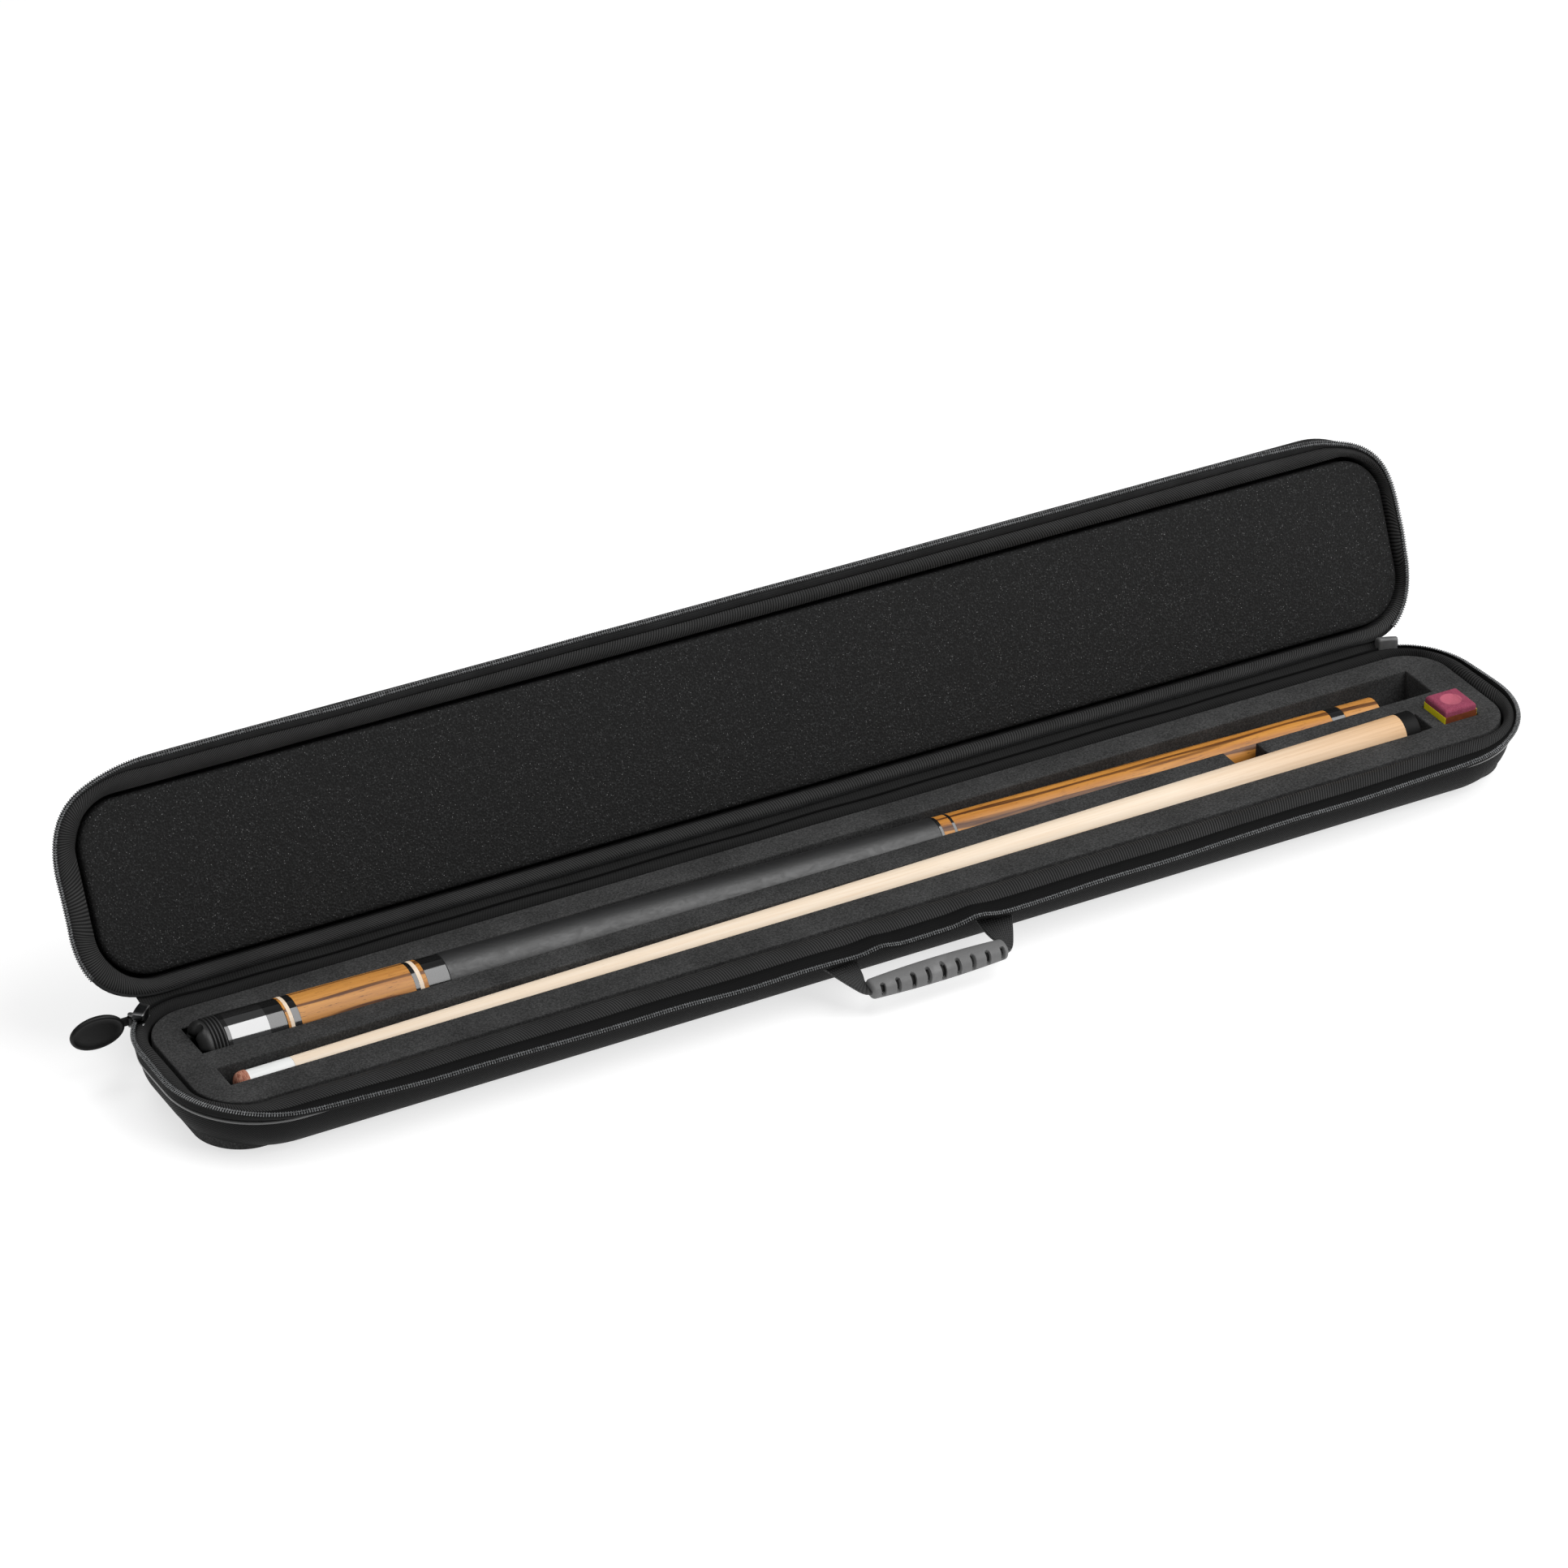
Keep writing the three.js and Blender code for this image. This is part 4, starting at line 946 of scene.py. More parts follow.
def foam_insert():
    """The foam block as one surface of heights: outer edge, soft lips, walls and pocket floors."""
    b, s = BUTT_SLOT, SHAFT_SLOT
    left, right = NOTCH
    h_shape = dense([
        (b["left"], b["rear"]), (b["left"], b["front"]), (left, b["front"]), (left, s["rear"]),
        (s["left"], s["rear"]), (s["left"], s["front"]), (s["right"], s["front"]), (s["right"], s["rear"]),
        (right, s["rear"]), (right, b["front"]), (b["right"], b["front"]), (b["right"], b["rear"])])
    (cx, cy), c = CHALK_AT, CHALK_POCKET["half"]
    pocket = dense([(cx - c, cy + c), (cx - c, cy - c), (cx + c, cy - c), (cx + c, cy + c)], 6)
    outline, _ = ring(FOAM)

    def hugged(points):
        """Below its lip the slot bulges to clear the widest part of the butt."""
        p = points.copy()
        near = (np.abs(p[:, 1] - BUTT["y"]) < 16) & (p[:, 0] < BUTT["thin_end"])
        room = butt_radius(p[:, 0]) + 0.5
        p[:, 1] = np.where(near & (p[:, 1] > BUTT["y"]), np.maximum(p[:, 1], BUTT["y"] + room), p[:, 1])
        side = near & (p[:, 1] < BUTT["y"]) & ((p[:, 0] < left - 0.1) | (p[:, 0] > right + 0.1))
        p[:, 1] = np.where(side, np.minimum(p[:, 1], BUTT["y"] - room), p[:, 1])
        return p

    def floor(points):
        t = np.clip((points[:, 1] - s["rear"]) / (b["front"] - s["rear"]), 0, 1)
        return s["floor"] + (b["floor"] - s["floor"]) * t

    verts, faces = [], []

    def loop(points, heights):
        start = len(verts)
        verts.extend(np.c_[points, heights * np.ones(len(points))].tolist())
        return list(range(start, start + len(points)))

    def strips(rings):
        for a, d in zip(rings, rings[1:]):
            n = len(a)
            faces.extend([a[i], a[(i + 1) % n], d[(i + 1) % n], d[i]] for i in range(n))

    def fill(loops, creases=()):
        """Triangles between an outer loop and the loops inside it, or across a single loop."""
        ids = [i for lp in loops for i in lp]
        flat = [Vector(verts[i][:2]) for i in ids]
        edges, at = [], 0
        for lp in loops:
            edges += [(at + i, at + (i + 1) % len(lp)) for i in range(len(lp))]
            at += len(lp)

        def nearest(p):
            return min(range(len(flat)), key=lambda i: (flat[i] - Vector(p)).length)

        edges += [(nearest(p), nearest(q)) for p, q in creases]
        every_triangle, inside_loop = 0, 1
        kind = inside_loop if len(loops) == 1 else every_triangle
        made = delaunay_2d_cdt(flat, edges, [], kind, 1e-5)
        spots, tris, origin = made[0], made[2], made[3]
        back = [ids[o[0]] for o in origin]
        for t in tris:
            m = sum((spots[i] for i in t), Vector((0, 0))) / 3
            if len(loops) > 1 and not inside_only(m, [[Vector(verts[i][:2]) for i in lp] for lp in loops]):
                continue
            faces.append([back[i] for i in t])

    def inside_only(p, polygons):
        """Inside the first polygon and outside the others."""
        def within(poly):
            hit = False
            for a, d in zip(poly, poly[1:] + poly[:1]):
                if (a.y > p.y) != (d.y > p.y) and p.x < (d.x - a.x) * (p.y - a.y) / (d.y - a.y) + a.x:
                    hit = not hit
            return hit
        return within(polygons[0]) and not any(within(q) for q in polygons[1:])

    top, lip_depth = FOAM_TOP, 3.2
    lip = [(0.9, 0.0), (0.45, -0.12), (0.12, -0.45), (0.0, -1.0)]

    def pit(points, floor_of, bulge=None, creases=()):
        rings = [loop(shifted(points, out), top + dz) for out, dz in lip]
        deeper = bulge(points) if bulge else points
        rings += [loop(deeper, top - lip_depth), loop(deeper, floor_of(points))]
        strips(rings)
        fill([rings[-1]], creases)
        return rings[0]

    edge = [loop(shifted(outline, -out), top + dz) for out, dz in lip]
    edge.append(loop(outline, low("foam_insert", 2)))
    mouths = [((left, y), (right, y)) for y in (s["rear"], b["front"])]
    slots_top = pit(h_shape, floor, hugged, mouths)
    chalk_top = pit(pocket, lambda p: np.full(len(p), CHALK_POCKET["floor"]))
    strips(edge)
    fill([edge[0], slots_top, chalk_top])
    faces.append(edge[-1])
    return verts, faces


foam = mesh("foam_block", *foam_insert(), "foam", body="base", replaces=("foam_insert",))


# ---- sponge pad ----------------------------------------------------------------------------------

def sponge_pad():
    """A slab in the lid with a rounded front edge. Its depths run back from the parting plane."""
    back, face, rounding = 22.0, PAD_RECESS, 2.3
    edge = [(0.0, face + 2.6), (-0.25, face + 1.3), (-1.0, face + 0.45), (-rounding, face)]
    rows = [np.c_[p, np.full(len(X), back)] for p in to_middle(grown(PAD, -0.4), (0.97, 0.5, 0.0))]
    rows += [np.c_[ring(grown(PAD, out))[0], np.full(len(X), depth)] for out, depth in edge]
    shares = (0.06, 0.2, 0.4, 0.6, 0.8, 0.97)
    for share, p in zip(shares, to_middle(grown(PAD, -rounding), shares)):
        rows.append(np.c_[p, face + wander(p, 0.16, 160, int(share * 100)) * share])
    verts, faces, uvs = capped(rows)
    return mesh("sponge_pad", verts + [*PAD_SHIFT, 0.0], faces, "sponge", uvs=uvs, body="lid",
                replaces=("lid_foam_pad",))


sponge_pad()


# ---- hinge gusset --------------------------------------------------------------------------------

def gusset():
    """The fabric that hinges the lid, from the slider round to the end stop. It joins the two crests
    and folds into a gully between them."""
    columns = np.r_[np.flatnonzero(STATION >= 6.6), np.flatnonzero(STATION <= 0.26)]
    base_edge = base_crest[columns] - np.c_[RIM_NORMALS[columns] * 0.5, np.full(len(columns), 1.2)]
    lid_edge = lid_crest[columns] - np.c_[RIM_NORMALS[columns] * 0.8, np.full(len(columns), 1.4)]
    lid_edge = swing(np.c_[lid_edge[:, :2], -lid_edge[:, 2]])
    gap = np.linalg.norm(lid_edge - base_edge, axis=1)
    ripple = wander(base_edge[:, :2], 0.3, 45, 21)
    inwards = np.c_[-RIM_NORMALS[columns] * 0.25, np.full(len(columns), -1.0)]
    rows = []
    for t in np.linspace(0, 1, 15):
        dip = np.clip(2.9 - 0.06 * gap, 1.4, 2.9) + ripple
        sag = (dip * math.sin(math.pi * t) ** 0.8)[:, None]
        rows.append(base_edge * (1 - t) + lid_edge * t + inwards * sag)
    back = [r + np.array([0, 0.5, -0.8]) for r in rows]
    verts, faces, uvs = grid([*rows, *back[::-1]], wrap_rows=True, wrap_cols=False, cap_ends=True)
    ob = mesh("hinge_strip", verts, faces, "lining", uvs=uvs, slot="zip_tape",
              replaces=("hinge_gusset", "hinge_gusset_lid_edge"))
    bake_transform(ob)


gusset()


# ---- cue -----------------------------------------------------------------------------------------

SIDES = 96


def lathe(name, profile, look, axis, body, part=None, shape=None, sharp=30):
    """A turned piece along X. `shape(x, r, angle)` may carve it. Its axis is (origin, turn about Y)."""
    a = np.linspace(0, 2 * math.pi, SIDES, endpoint=False)
    rows = []
    for x, r in profile:
        xs, rs = np.full(SIDES, float(x)), np.full(SIDES, float(r))
        if shape:
            xs, rs = shape(xs, rs, a)
        rows.append(np.c_[xs, rs * np.cos(a), rs * np.sin(a)])
    verts, faces, uvs = capped(rows, (1, 2))
    origin, turn = axis
    x, y, z = verts.T
    c, s = math.cos(turn), math.sin(turn)
    mesh(name, np.c_[x * c + z * s, y, z * c - x * s] + origin, faces, look, body=body,
         replaces=(part,) if part else (), uvs=uvs, sharp=sharp)


def span(a, b, radius, steps=2, ease=0.0):
    """A turned length from a to b with a little break at each end."""
    xs = np.linspace(a + ease, b - ease, steps)
    profile = [(x, radius(x)) for x in xs]
    if ease:
        profile = [(a, radius(a) - ease), *profile, (b, radius(b) - ease)]
    return profile


BUTT_AXIS = (0, BUTT["y"], BUTT["z"]), BUTT["droop"]
SHAFT_AXIS = (0, SHAFT["y"], SHAFT["z"]), -SHAFT["rise"]
# The butt's pieces from the cap to the joint: part, look and where its right end is.
STACK = [
    ("end_cap", "gloss", -339.0), ("ring_wood_low", "wood", -337.6), ("ring_maple_low", "maple", -335.4),
    ("ring_black_low", "gloss", -331.3), ("sleeve", "sleeve_wood", -264.0),
    ("ring_black_mid", "gloss", -261.5), ("ring_maple_mid", "maple", -259.0),
    ("ring_wood_mid", "wood", -256.5), ("collar", "gloss", -243.6), ("wrap", "wrap", 61.5),
    ("ring_black_high", "gloss", 63.2), ("ring_pieced", "wood", 69.8), ("ring_black_top", "gloss", 71.5),
    ("forearm", "wood", 321.0), ("joint_ring", "gloss", 329.8), ("joint_sleeve", "sleeve_wood", 353.4),
]


def butt_piece(part, look, profile, **more):
    lathe("cue_" + part, profile, look, BUTT_AXIS, "cue_butt", "butt_" + part, **more)


def shaft_piece(part, look, profile):
    lathe("cue_shaft_" + part, profile, look, SHAFT_AXIS, "cue_shaft", "shaft_" + part)


def cue_butt():
    cap_end, gap = -374.0, 0.03
    left = cap_end
    for part, look, right in STACK:
        proud = 0.12 if part == "wrap" else 0.0
        ease = 0.35 if part in ("wrap", "end_cap", "joint_sleeve") else 0.02
        butt_piece(part, look, span(left + gap, right - gap, lambda x: butt_radius(x) + proud, 8, ease))
        left = right
    label = [(-371.6, -0.05), (-371.5, 0.1), (-349.4, 0.1), (-349.3, -0.05)]
    lathe("cue_cap_film", [(x, butt_radius(x) + out) for x, out in label], "film", BUTT_AXIS, "cue_butt")

    seat = butt_radius(cap_end)
    ridge = [(0, -1.0), (0.25, -0.35), (0.7, 0), (1.15, -0.05), (1.5, -0.5)]
    ridges = [(-381.4 + 2.0 * i + x, seat + out) for i in range(4) for x, out in ridge]
    foot = [(-381.0, 5.6), (-381.2, 7.2), (-386.0, 7.6), (-387.6, 8.0), (-388.3, 8.9), (-388.3, 10.2),
            (-387.8, 11.6), (-386.9, 12.8), (-385.6, 13.8), (-384.2, seat - 0.4), (-382.4, seat - 0.5)]

    def lobes(x, r, a):
        """Notches cut the bumper's rim into round lobes."""
        count, start, width = 5, 1.05, 0.15
        cut = np.exp(-((np.mod(a - start, 2 * math.pi / count) - math.pi / count) / width) ** 2)
        near = np.clip((-383.2 - x) / 3.0, 0, 1) * np.clip((r - 6.9) / 0.8, 0, 1)
        return x + 2.9 * cut * near, r - 0.9 * cut * near

    butt_piece("bumper", "rubber", [*foot, *ridges, (-374.1, seat - 0.5)], shape=lobes, sharp=50)
    thread = [(356.4 + i * 0.6, 3.9 - 0.45 * (i % 2)) for i in range(33)]
    pin = [(353.7, 5.5), (355.5, 5.5), (355.5, 3.9), *thread, (376.4, 3.6), (378.0, 2.6)]
    butt_piece("joint_pin", "steel", pin)


def cue_shaft():
    dome = [(-383.0, 0.8), (-382.9, 2.0), (-382.5, 3.4), (-381.8, 4.7), (-380.9, 5.6), (-379.8, 6.2),
            (-378.6, 6.45), (-377.0, 6.55), (-375.7, 6.5)]
    shaft_piece("tip", "tip", dome)
    shaft_piece("ferrule", "ferrule", span(-375.6, -349.85, lambda x: SHAFT["tip"], 3, 0.05))
    shaft_piece("wood", "maple", span(-349.75, 343.1, shaft_radius, 40, 0.02))
    shaft_piece("collar", "collar", [(346.5, 4.5), (353.0, 4.5), (353.0, 10.0), (352.85, 10.4), (352.4, 10.7),
                                     (343.25, shaft_radius(343.2))])
    shaft_piece("insert", "brass", [(346.8, 4.2), (352.8, 4.2), (352.8, 3.2), (348.4, 3.2)])


cue_butt()
cue_shaft()


# ---- chalk ---------------------------------------------------------------------------------------

def rounded_square(size, corner, steps=6):
    h = size / 2 - corner
    turns = ((h, h, 0), (-h, h, 90), (-h, -h, 180), (h, -h, 270))
    return np.vstack([arc(cx, cy, corner, start, start + 90 * steps / (steps - 1), steps)[0]
                      for cx, cy, start in turns])


def at_height(outline, z):
    return np.c_[outline, np.full(len(outline), z)]


def chalk_cube():
    size, top, bottom, dimple = 21.1, 40.3, 18.3, 6.4
    sides = [(0.8, 0.8, bottom), (0, 0.8, bottom + 0.8), (0, 0.8, top - 1.9), (0.12, 0.9, top - 1.4),
             (0.75, 1.1, top - 0.45), (1.35, 1.2, top - 0.06), (1.9, 1.3, top)]
    loops = [at_height(rounded_square(size - 2 * inset, corner), z) for inset, corner, z in sides]
    edge = loops[-1][:, :2]
    circle = edge / np.linalg.norm(edge, axis=1, keepdims=True)
    loops.append(at_height(edge * 0.5 + circle * 3.4, top))
    for r in (dimple, 6.2, 5.4, 4.0, 2.2, 0.6):
        drop = 1.05 * (1 - (r / dimple) ** 2) + (0.12 if r < dimple else 0)
        loops.append(at_height(circle * r, top - drop))
    verts, faces = loft(loops)
    mesh("chalk_cube", verts + [*CHALK_AT, 0], faces, "chalk", body="chalk", replaces=("chalk_block",),
         sharp=60)
    paper = [(22.0, 18.6), (22.0, 36.05), (21.9, 36.2), (21.4, 36.2), (21.4, 18.6)]
    verts, faces, _ = grid([at_height(rounded_square(width, 1.0), z) for width, z in paper], wrap_rows=True)
    label = mesh("chalk_wrapper", verts + [*CHALK_AT, 0], faces, "yellow", body="chalk",
                 replaces=("chalk_label",), second="brown", sharp=40)
    for f in label.data.polygons:
        x, y = (abs(f.center[i] - CHALK_AT[i] * MM) for i in (0, 1))
        f.material_index = 1 if y > x else 0


chalk_cube()


# ---- handle --------------------------------------------------------------------------------------

DROOP = math.radians(13.8)
PIVOT = np.array([0.0, -64.0, 23.0])
OUT = np.array([0.0, -math.cos(DROOP), -math.sin(DROOP)])
ABOVE = np.array([0.0, -math.sin(DROOP), math.cos(DROOP)])


def on_handle(x, out, up):
    return PIVOT + np.outer(x, (1, 0, 0)) + np.outer(out, OUT) + np.outer(up, ABOVE)


def polyline(points, count):
    p = np.array(points, float)
    s = np.r_[0, np.cumsum(np.linalg.norm(np.diff(p, axis=0), axis=1))]
    t = np.linspace(0, s[-1], count)
    smooth = np.stack([np.interp(t, s, p[:, i]) for i in range(p.shape[1])], -1)
    for _ in range(3):
        smooth[1:-1] = (smooth[:-2] + 2 * smooth[1:-1] + smooth[2:]) / 4
    return smooth


def strap(side):
    """One flat strap of the handle, from under the zip band to the grip's end."""
    outer = polyline([(61, -2.5), (60, 0.5), (52.5, 16), (47.3, 25.6), (44.5, 28.2), (37, 28.4)], 26)
    inner = polyline([(37.6, -2.5), (38, 0.5), (40.2, 15), (42.3, 20.6), (40, 21.6), (36, 21.6)], 26)
    rows = []
    twist = 1.5 if side > 0 else 0.5
    for v in np.linspace(0, 1, 9):
        p = outer * (1 - v) + inner * v
        u = np.linspace(0, 1, 26)
        lift = 1.6 * (1 - u) ** 2 + twist * np.sin(math.pi * np.minimum(u / 0.8, 1)) * (1 - 2.2 * v) * 0.8
        rows.append(on_handle(side * p[:, 0], p[:, 1], lift))
    rows = np.array(rows)
    top, under = rows + ABOVE * 0.85, rows - ABOVE * 0.85
    edge_a = rows[:1] + (rows[:1] - rows[1:2]) * 0.12
    edge_b = rows[-1:] + (rows[-1:] - rows[-2:-1]) * 0.12
    loops = np.concatenate([edge_a, top, edge_b, under[::-1]])
    return grid(loops, wrap_rows=True, wrap_cols=False, cap_ends=True)


def straps():
    sides = [strap(side) for side in (-1, 1)]
    turned = [outward(*side) for side in sides]
    verts, faces = join([(v, f) for (v, _, _), (f, _) in zip(sides, turned)])
    ob = mesh("handle_straps", verts, faces, "webbing", uvs=np.vstack([uvs for _, uvs in turned]),
              replaces=("handle_webbing",), sharp=50)
    start, end = (on_handle([0], [o], [0])[0] * MM for o in (-1.0, 5.0))
    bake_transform(ob)
    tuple(start)
    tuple(end)


def grip():
    """The moulded grip: a soft oval bar, fuller in the middle, with a row of round-ended slots."""
    along_steps, around = 240, 88
    t = np.linspace(-1, 1, along_steps)
    a = np.linspace(0, 2 * math.pi, around, endpoint=False)
    tt, aa = np.meshgrid(t, a, indexing="ij")
    full = 1 - tt * tt
    ends = np.sqrt(np.clip(1 - (np.clip(np.abs(tt) - 0.955, 0, 1) / 0.047) ** 2, 0.0, 1)) * 0.3 + 0.7
    h = (11.0 + 2.6 * full) / 2 * ends
    d = (9.4 + 1.7 * full) / 2 * ends
    power = 0.78
    cx, sx = np.cos(aa), np.sin(aa)
    out = np.sign(cx) * np.abs(cx) ** power
    up = np.sign(sx) * np.abs(sx) ** power
    x = tt * 42.0
    pitch, middle = 9.3, 1.0
    nearest = np.clip(np.round((x - middle) / pitch), -4, 4)
    dx = x - middle - nearest * pitch
    reach = 0.98 - 0.05 * np.abs(nearest)
    around_from = np.arctan2(np.sin(aa - math.radians(30)), np.cos(aa - math.radians(30)))
    half = 1.05 * reach
    dy = np.maximum(np.abs(around_from) - (half - 0.25), 0) * 5.2
    inside = 1.45 - np.hypot(dx, dy)
    slot_depth = np.clip(inside / 0.5, 0, 1)
    slot_depth = slot_depth * slot_depth * (3 - 2 * slot_depth) * 2.5
    h2, d2 = h - slot_depth, d - slot_depth
    verts = on_handle(x.ravel(), 25.0 + (out * h2).ravel(), (up * d2).ravel())
    verts, faces, uvs = capped(verts.reshape(along_steps, around, 3))
    ob = mesh("grip_bar", verts, faces, "grip", body="handle", replaces=("handle_grip",), uvs=uvs,
              second="slot_painted_shade", sharp=60)
    # Faces deep in the slots take the near-black colour: painted shade.
    deep = (slot_depth > 0.5).ravel()
    for f in ob.data.polygons:
        if all(deep[i] for i in f.vertices):
            f.material_index = 1


straps()
grip()


# ---- slider, pull and end stop -------------------------------------------------------------------

SLIDER_ANGLE, STOP_ANGLE = 135.8, 70.0


def on_corner(side, angle, out, z):
    """A point by a rear corner of the rim, `out` from it."""
    a = np.radians(angle)
    reach = RIM["rear_radius"] + np.asarray(out, float)
    cx, cy = side * (RIM["x"] - RIM["rear_radius"]), RIM["rear"] - RIM["rear_radius"]
    return np.stack([cx + reach * np.cos(a), cy + reach * np.sin(a), z * np.ones_like(reach)], -1)


def block_on_corner(profile, side, middle, half_angle, rounding):
    """A body whose (out, z) profile follows the rim's corner and shrinks a little at both ends."""
    profile = np.array(profile, float)
    centre = profile.mean(0)
    loops = []
    for t in [-1, -0.985, -0.94, -0.8, -0.4, 0, 0.4, 0.8, 0.94, 0.985, 1]:
        k = 1 - rounding * max(0.0, (abs(t) - 0.8) / 0.2) ** 3
        p = centre + (profile - centre) * k
        loops.append(on_corner(side, np.full(len(p), middle + half_angle * t), p[:, 0], p[:, 1]))
    return loft(loops)


def soft_profile(points, radius=0.8, steps=4):
    """A closed outline with its corners rounded."""
    p = np.array(points, float)
    out = []
    for before, here, after in zip(np.roll(p, 1, 0), p, np.roll(p, -1, 0)):
        a, b = before - here, after - here
        ra, rb = min(radius, np.linalg.norm(a) / 2.2), min(radius, np.linalg.norm(b) / 2.2)
        a, b = here + a / np.linalg.norm(a) * ra, here + b / np.linalg.norm(b) * rb
        out += [(1 - t) ** 2 * a + 2 * t * (1 - t) * here + t * t * b for t in np.linspace(0, 1, steps)]
    return out


def bar(lo, hi, radius=0.5):
    """A box with rounded upright edges, between two corners."""
    lo, hi = np.array(lo, float), np.array(hi, float)
    outline = soft_profile([(hi[0], hi[1]), (lo[0], hi[1]), (lo[0], lo[1]), (hi[0], lo[1])], radius)
    mid = (lo + hi)[:2] / 2
    levels = [(0.9, lo[2]), (1, lo[2] + 0.25), (1, hi[2] - 0.25), (0.9, hi[2])]
    return loft([at_height(mid + (np.array(outline) - mid) * k, z) for k, z in levels])


def peg(x, y, radius, z0, z1, sides=20):
    a = np.linspace(0, 2 * math.pi, sides, endpoint=False)
    levels = [(radius - 0.2, z0), (radius, z0 + 0.2), (radius, z1 - 0.2), (radius - 0.2, z1)]
    return loft([at_height(np.c_[x + r * np.cos(a), y + r * np.sin(a)], z) for r, z in levels])


def slider():
    top = soft_profile([(-3.6, 41.3), (2.8, 41.5), (3.2, 38.2), (0.4, 37.6), (-3.4, 37.6)], 0.9)
    under = soft_profile([(-3.6, 35.2), (0.4, 35.2), (3.2, 34.6), (3.2, 30.6), (-3.2, 30.0)], 0.9)
    neck = soft_profile([(-3.4, 40.0), (-1.9, 40.0), (-1.9, 32.0), (-3.4, 32.0)], 0.4)
    pivot = on_corner(-1, SLIDER_ANGLE, [5.2], 0)[0]
    spin = np.array(Matrix.Rotation(math.radians(SLIDER_ANGLE), 3, "Z"))

    def lug(z0, z1):
        verts, faces = bar((-3.6, -1.4, z0), (1.9, 1.4, z1), 1.2)
        return verts @ spin.T + pivot, faces

    blocks = [block_on_corner(profile, -1, SLIDER_ANGLE, half_angle, rounding)
              for profile, half_angle, rounding in ((top, 8.0, 0.35), (under, 8.0, 0.35), (neck, 5.0, 0.2))]
    body = join([*blocks, lug(29.5, 30.8), lug(36.2, 37.5), peg(pivot[0], pivot[1], 0.9, 29.9, 37.1)])
    mesh("slider_body", *body, "slider", body="slider", replaces=("zipper_slider",), sharp=40)
    return pivot[:2]


def pull(x, y):
    """An oval rubber tab with a raised rim, on a neck and an eye round the slider's pin."""
    half_length, half_height, z, reach = 15.5, 9.75, 31.9, 4.3
    cx = x - reach - half_length
    a, b = (np.linspace(0, 2 * math.pi, sides, endpoint=False) for sides in (72, 22))
    face = [(0.03, 0.95), (0.5, 0.95), (0.74, 0.98), (0.79, 1.2), (0.83, 1.42), (0.9, 1.5), (0.95, 1.38),
            (0.985, 1.0), (1.0, 0.4)]
    loops = []
    for k, out in [*face, *[(k, -out) for k, out in face[::-1]]]:
        inset = (1 - k) * half_height
        length, height = (half_length - inset) * (1 if k > 0.3 else 0.9), half_height - inset
        loops.append(np.c_[cx + length * np.cos(a), np.full(len(a), y + out), z + height * np.sin(a)])
    neck = bar((x - 7.0, y - 1.1, 31.3), (x - 1.2, y + 1.1, 35.7), 0.5)
    eye = [(1.3, 31.3), (2.1, 31.3), (2.4, 31.6), (2.4, 35.4), (2.1, 35.7), (1.3, 35.7)]
    verts, faces, _ = grid([at_height(np.c_[x + r * np.cos(b), y + r * np.sin(b)], h) for r, h in eye],
                           wrap_rows=True)
    body = join([loft(loops), neck, (verts, outward(verts, faces)[0])])
    mesh("pull_grip_tab", *body, "pull", body="pull", replaces=("pull_tab",), sharp=40)


def end_stop():
    """A folded cap over the end of the zip."""
    cap = soft_profile([(-4.2, 41.2), (-1.8, 42.1), (2.6, 39.6), (3.4, 37.6), (3.6, 28.6), (2.4, 28.4),
                        (-4.0, 31.0)], 1.0)
    lip = soft_profile([(2.2, 30.4), (4.3, 30.4), (4.4, 28.4), (2.2, 28.0)], 0.5)
    body = join([block_on_corner(cap, 1, STOP_ANGLE, 8.0, 0.3),
                 block_on_corner(lip, 1, STOP_ANGLE, 7.6, 0.2)])
    mesh("zip_end_cap", *body, "stop", body="base", replaces=("zipper_end_stop",), sharp=40)


pull(*slider())
end_stop()


# ---- floor, light and camera ---------------------------------------------------------------------

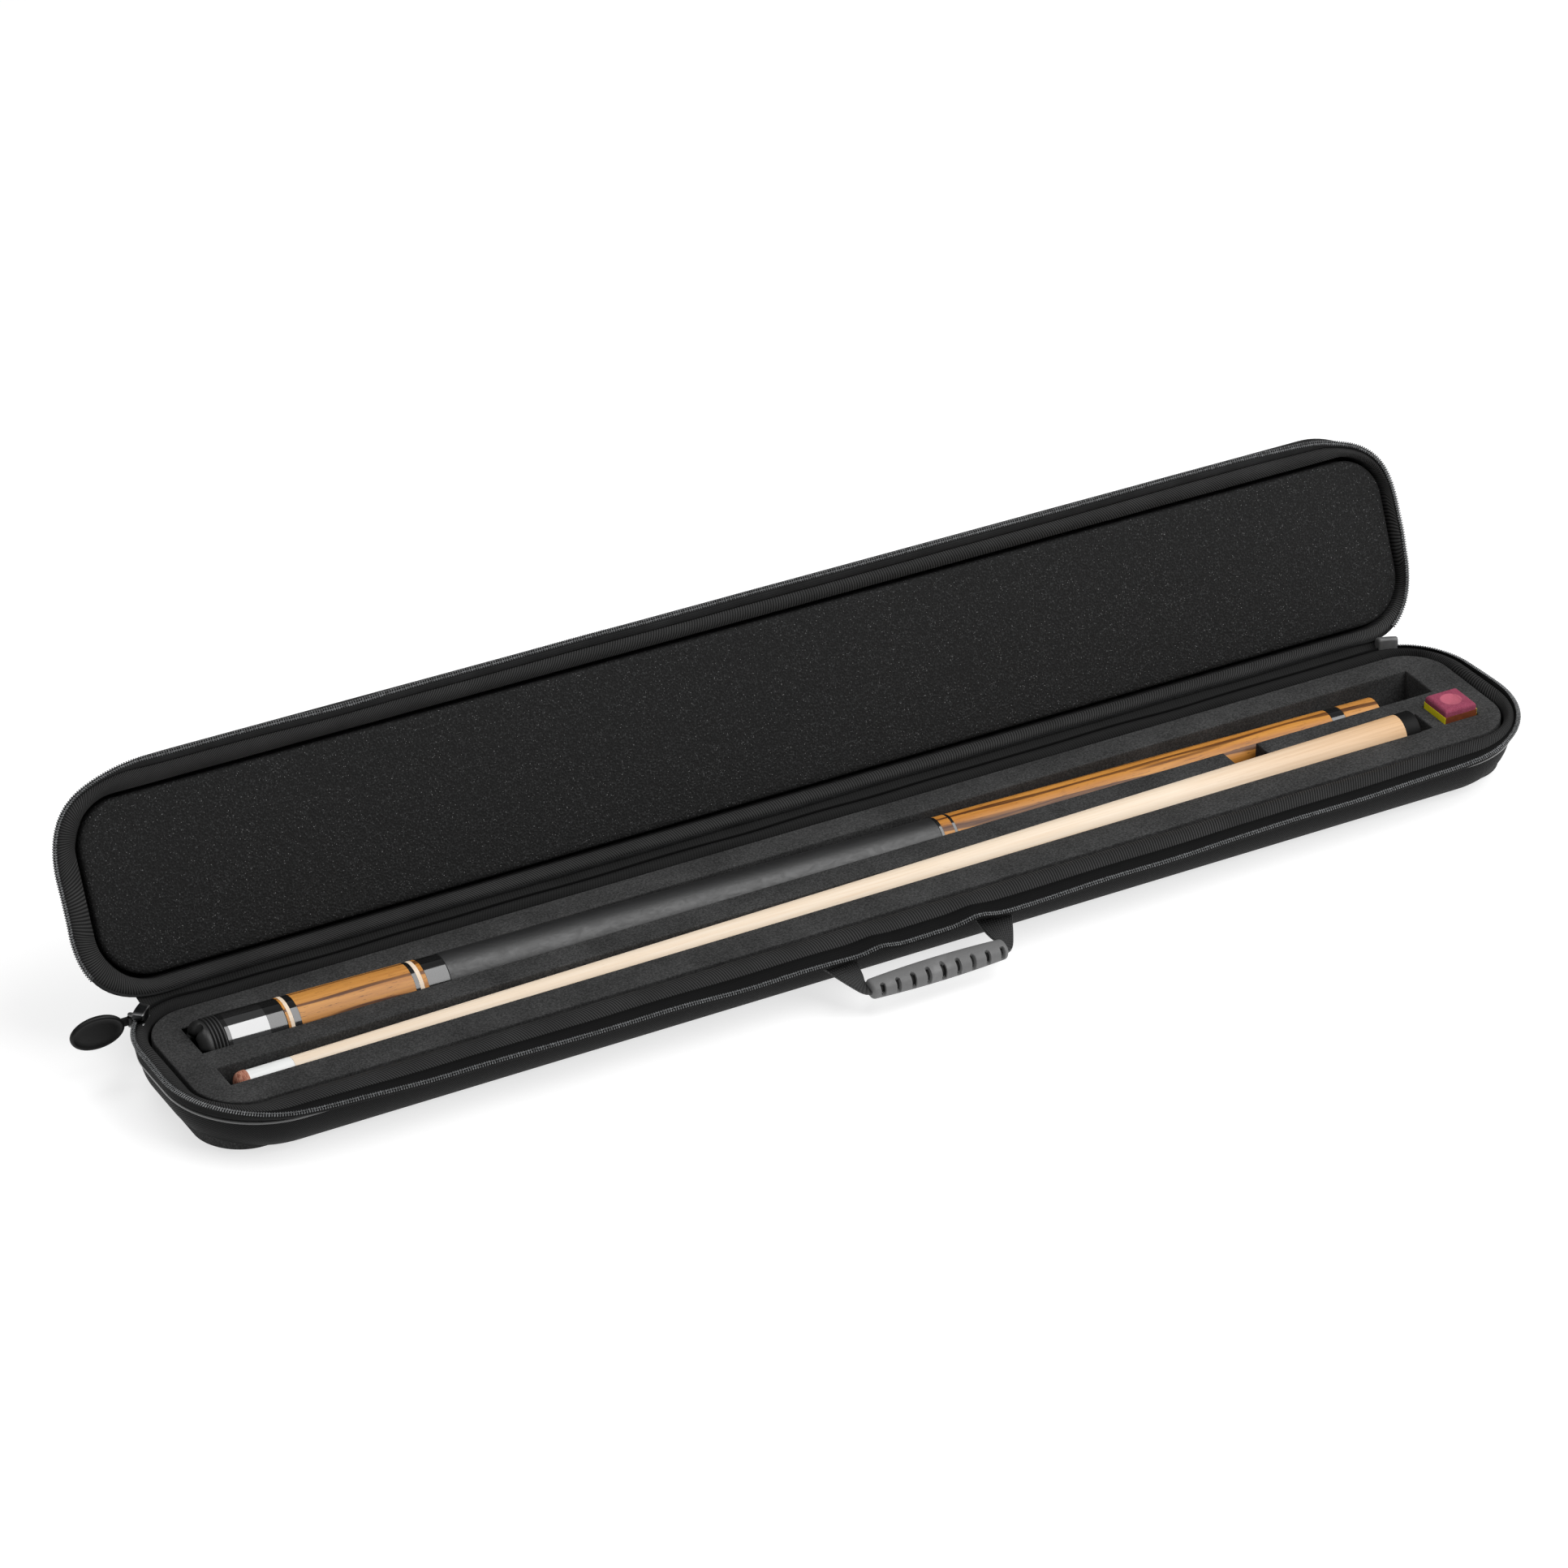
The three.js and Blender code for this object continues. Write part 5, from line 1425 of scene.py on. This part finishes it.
def studio():
    floor_look = Shader("floor", grey(0.5), 0.9, Specular_IOR_Level=0.1, Emission_Strength=0.7)
    floor_look.surface.inputs["Emission Color"].default_value = (1, 1, 1, 1)
    cloud = floor_look.noise(floor_look.place(), 0.004, 2)
    floor_look.colour(floor_look.mix(cloud, grey(0.49), grey(0.51)))
    me = bpy.data.meshes.new("floor")
    me.from_pydata([(-12, -12, 0), (12, -12, 0), (12, 12, 0), (-12, 12, 0)], [], [(0, 1, 2, 3)])
    me.materials.append(floor_look.material)
    floor = bpy.data.objects.new("floor", me)
    floor.location.z = -0.0002
    bpy.context.scene.collection.objects.link(floor)

    def softbox(name, at, towards, size, power):
        light = bpy.data.lights.new(name, "AREA")
        light.shape = "RECTANGLE"
        light.size, light.size_y = size
        light.energy = power
        ob = bpy.data.objects.new(name, light)
        ob.location = at
        ob.rotation_euler = (Vector(towards) - Vector(at)).to_track_quat("-Z", "Y").to_euler()
        bpy.context.scene.collection.objects.link(ob)

    softbox("key_softbox", (0.96, -0.96, 1.85), (0, 0, 0.03), (2.2, 2.4), 56)
    softbox("top_softbox", (-0.7, 0.5, 2.2), (0, 0, 0), (1.6, 0.9), 14)
    world = bpy.data.worlds.new("studio")
    world.use_nodes = True
    world.node_tree.nodes["Background"].inputs["Color"].default_value = (0.98, 0.99, 1.0, 1)
    world.node_tree.nodes["Background"].inputs["Strength"].default_value = 0.16
    bpy.context.scene.world = world
    bpy.context.scene.view_settings.view_transform = "Standard"


def camera():
    azimuth, elevation = math.radians(29.19), math.radians(30.92)
    data = bpy.data.cameras.new("camera")
    data.sensor_width, data.lens = 36.0, 149.07
    data.clip_start, data.clip_end = 0.1, 60
    ob = bpy.data.objects.new("camera", data)
    ob.location = (-1.50876, -2.62004, 1.89768)
    forward = Vector((math.sin(azimuth) * math.cos(elevation), math.cos(azimuth) * math.cos(elevation),
                      -math.sin(elevation)))
    ob.rotation_euler = forward.to_track_quat("-Z", "Y").to_euler()
    bpy.context.scene.collection.objects.link(ob)
    bpy.context.scene.camera = ob


studio()
camera()
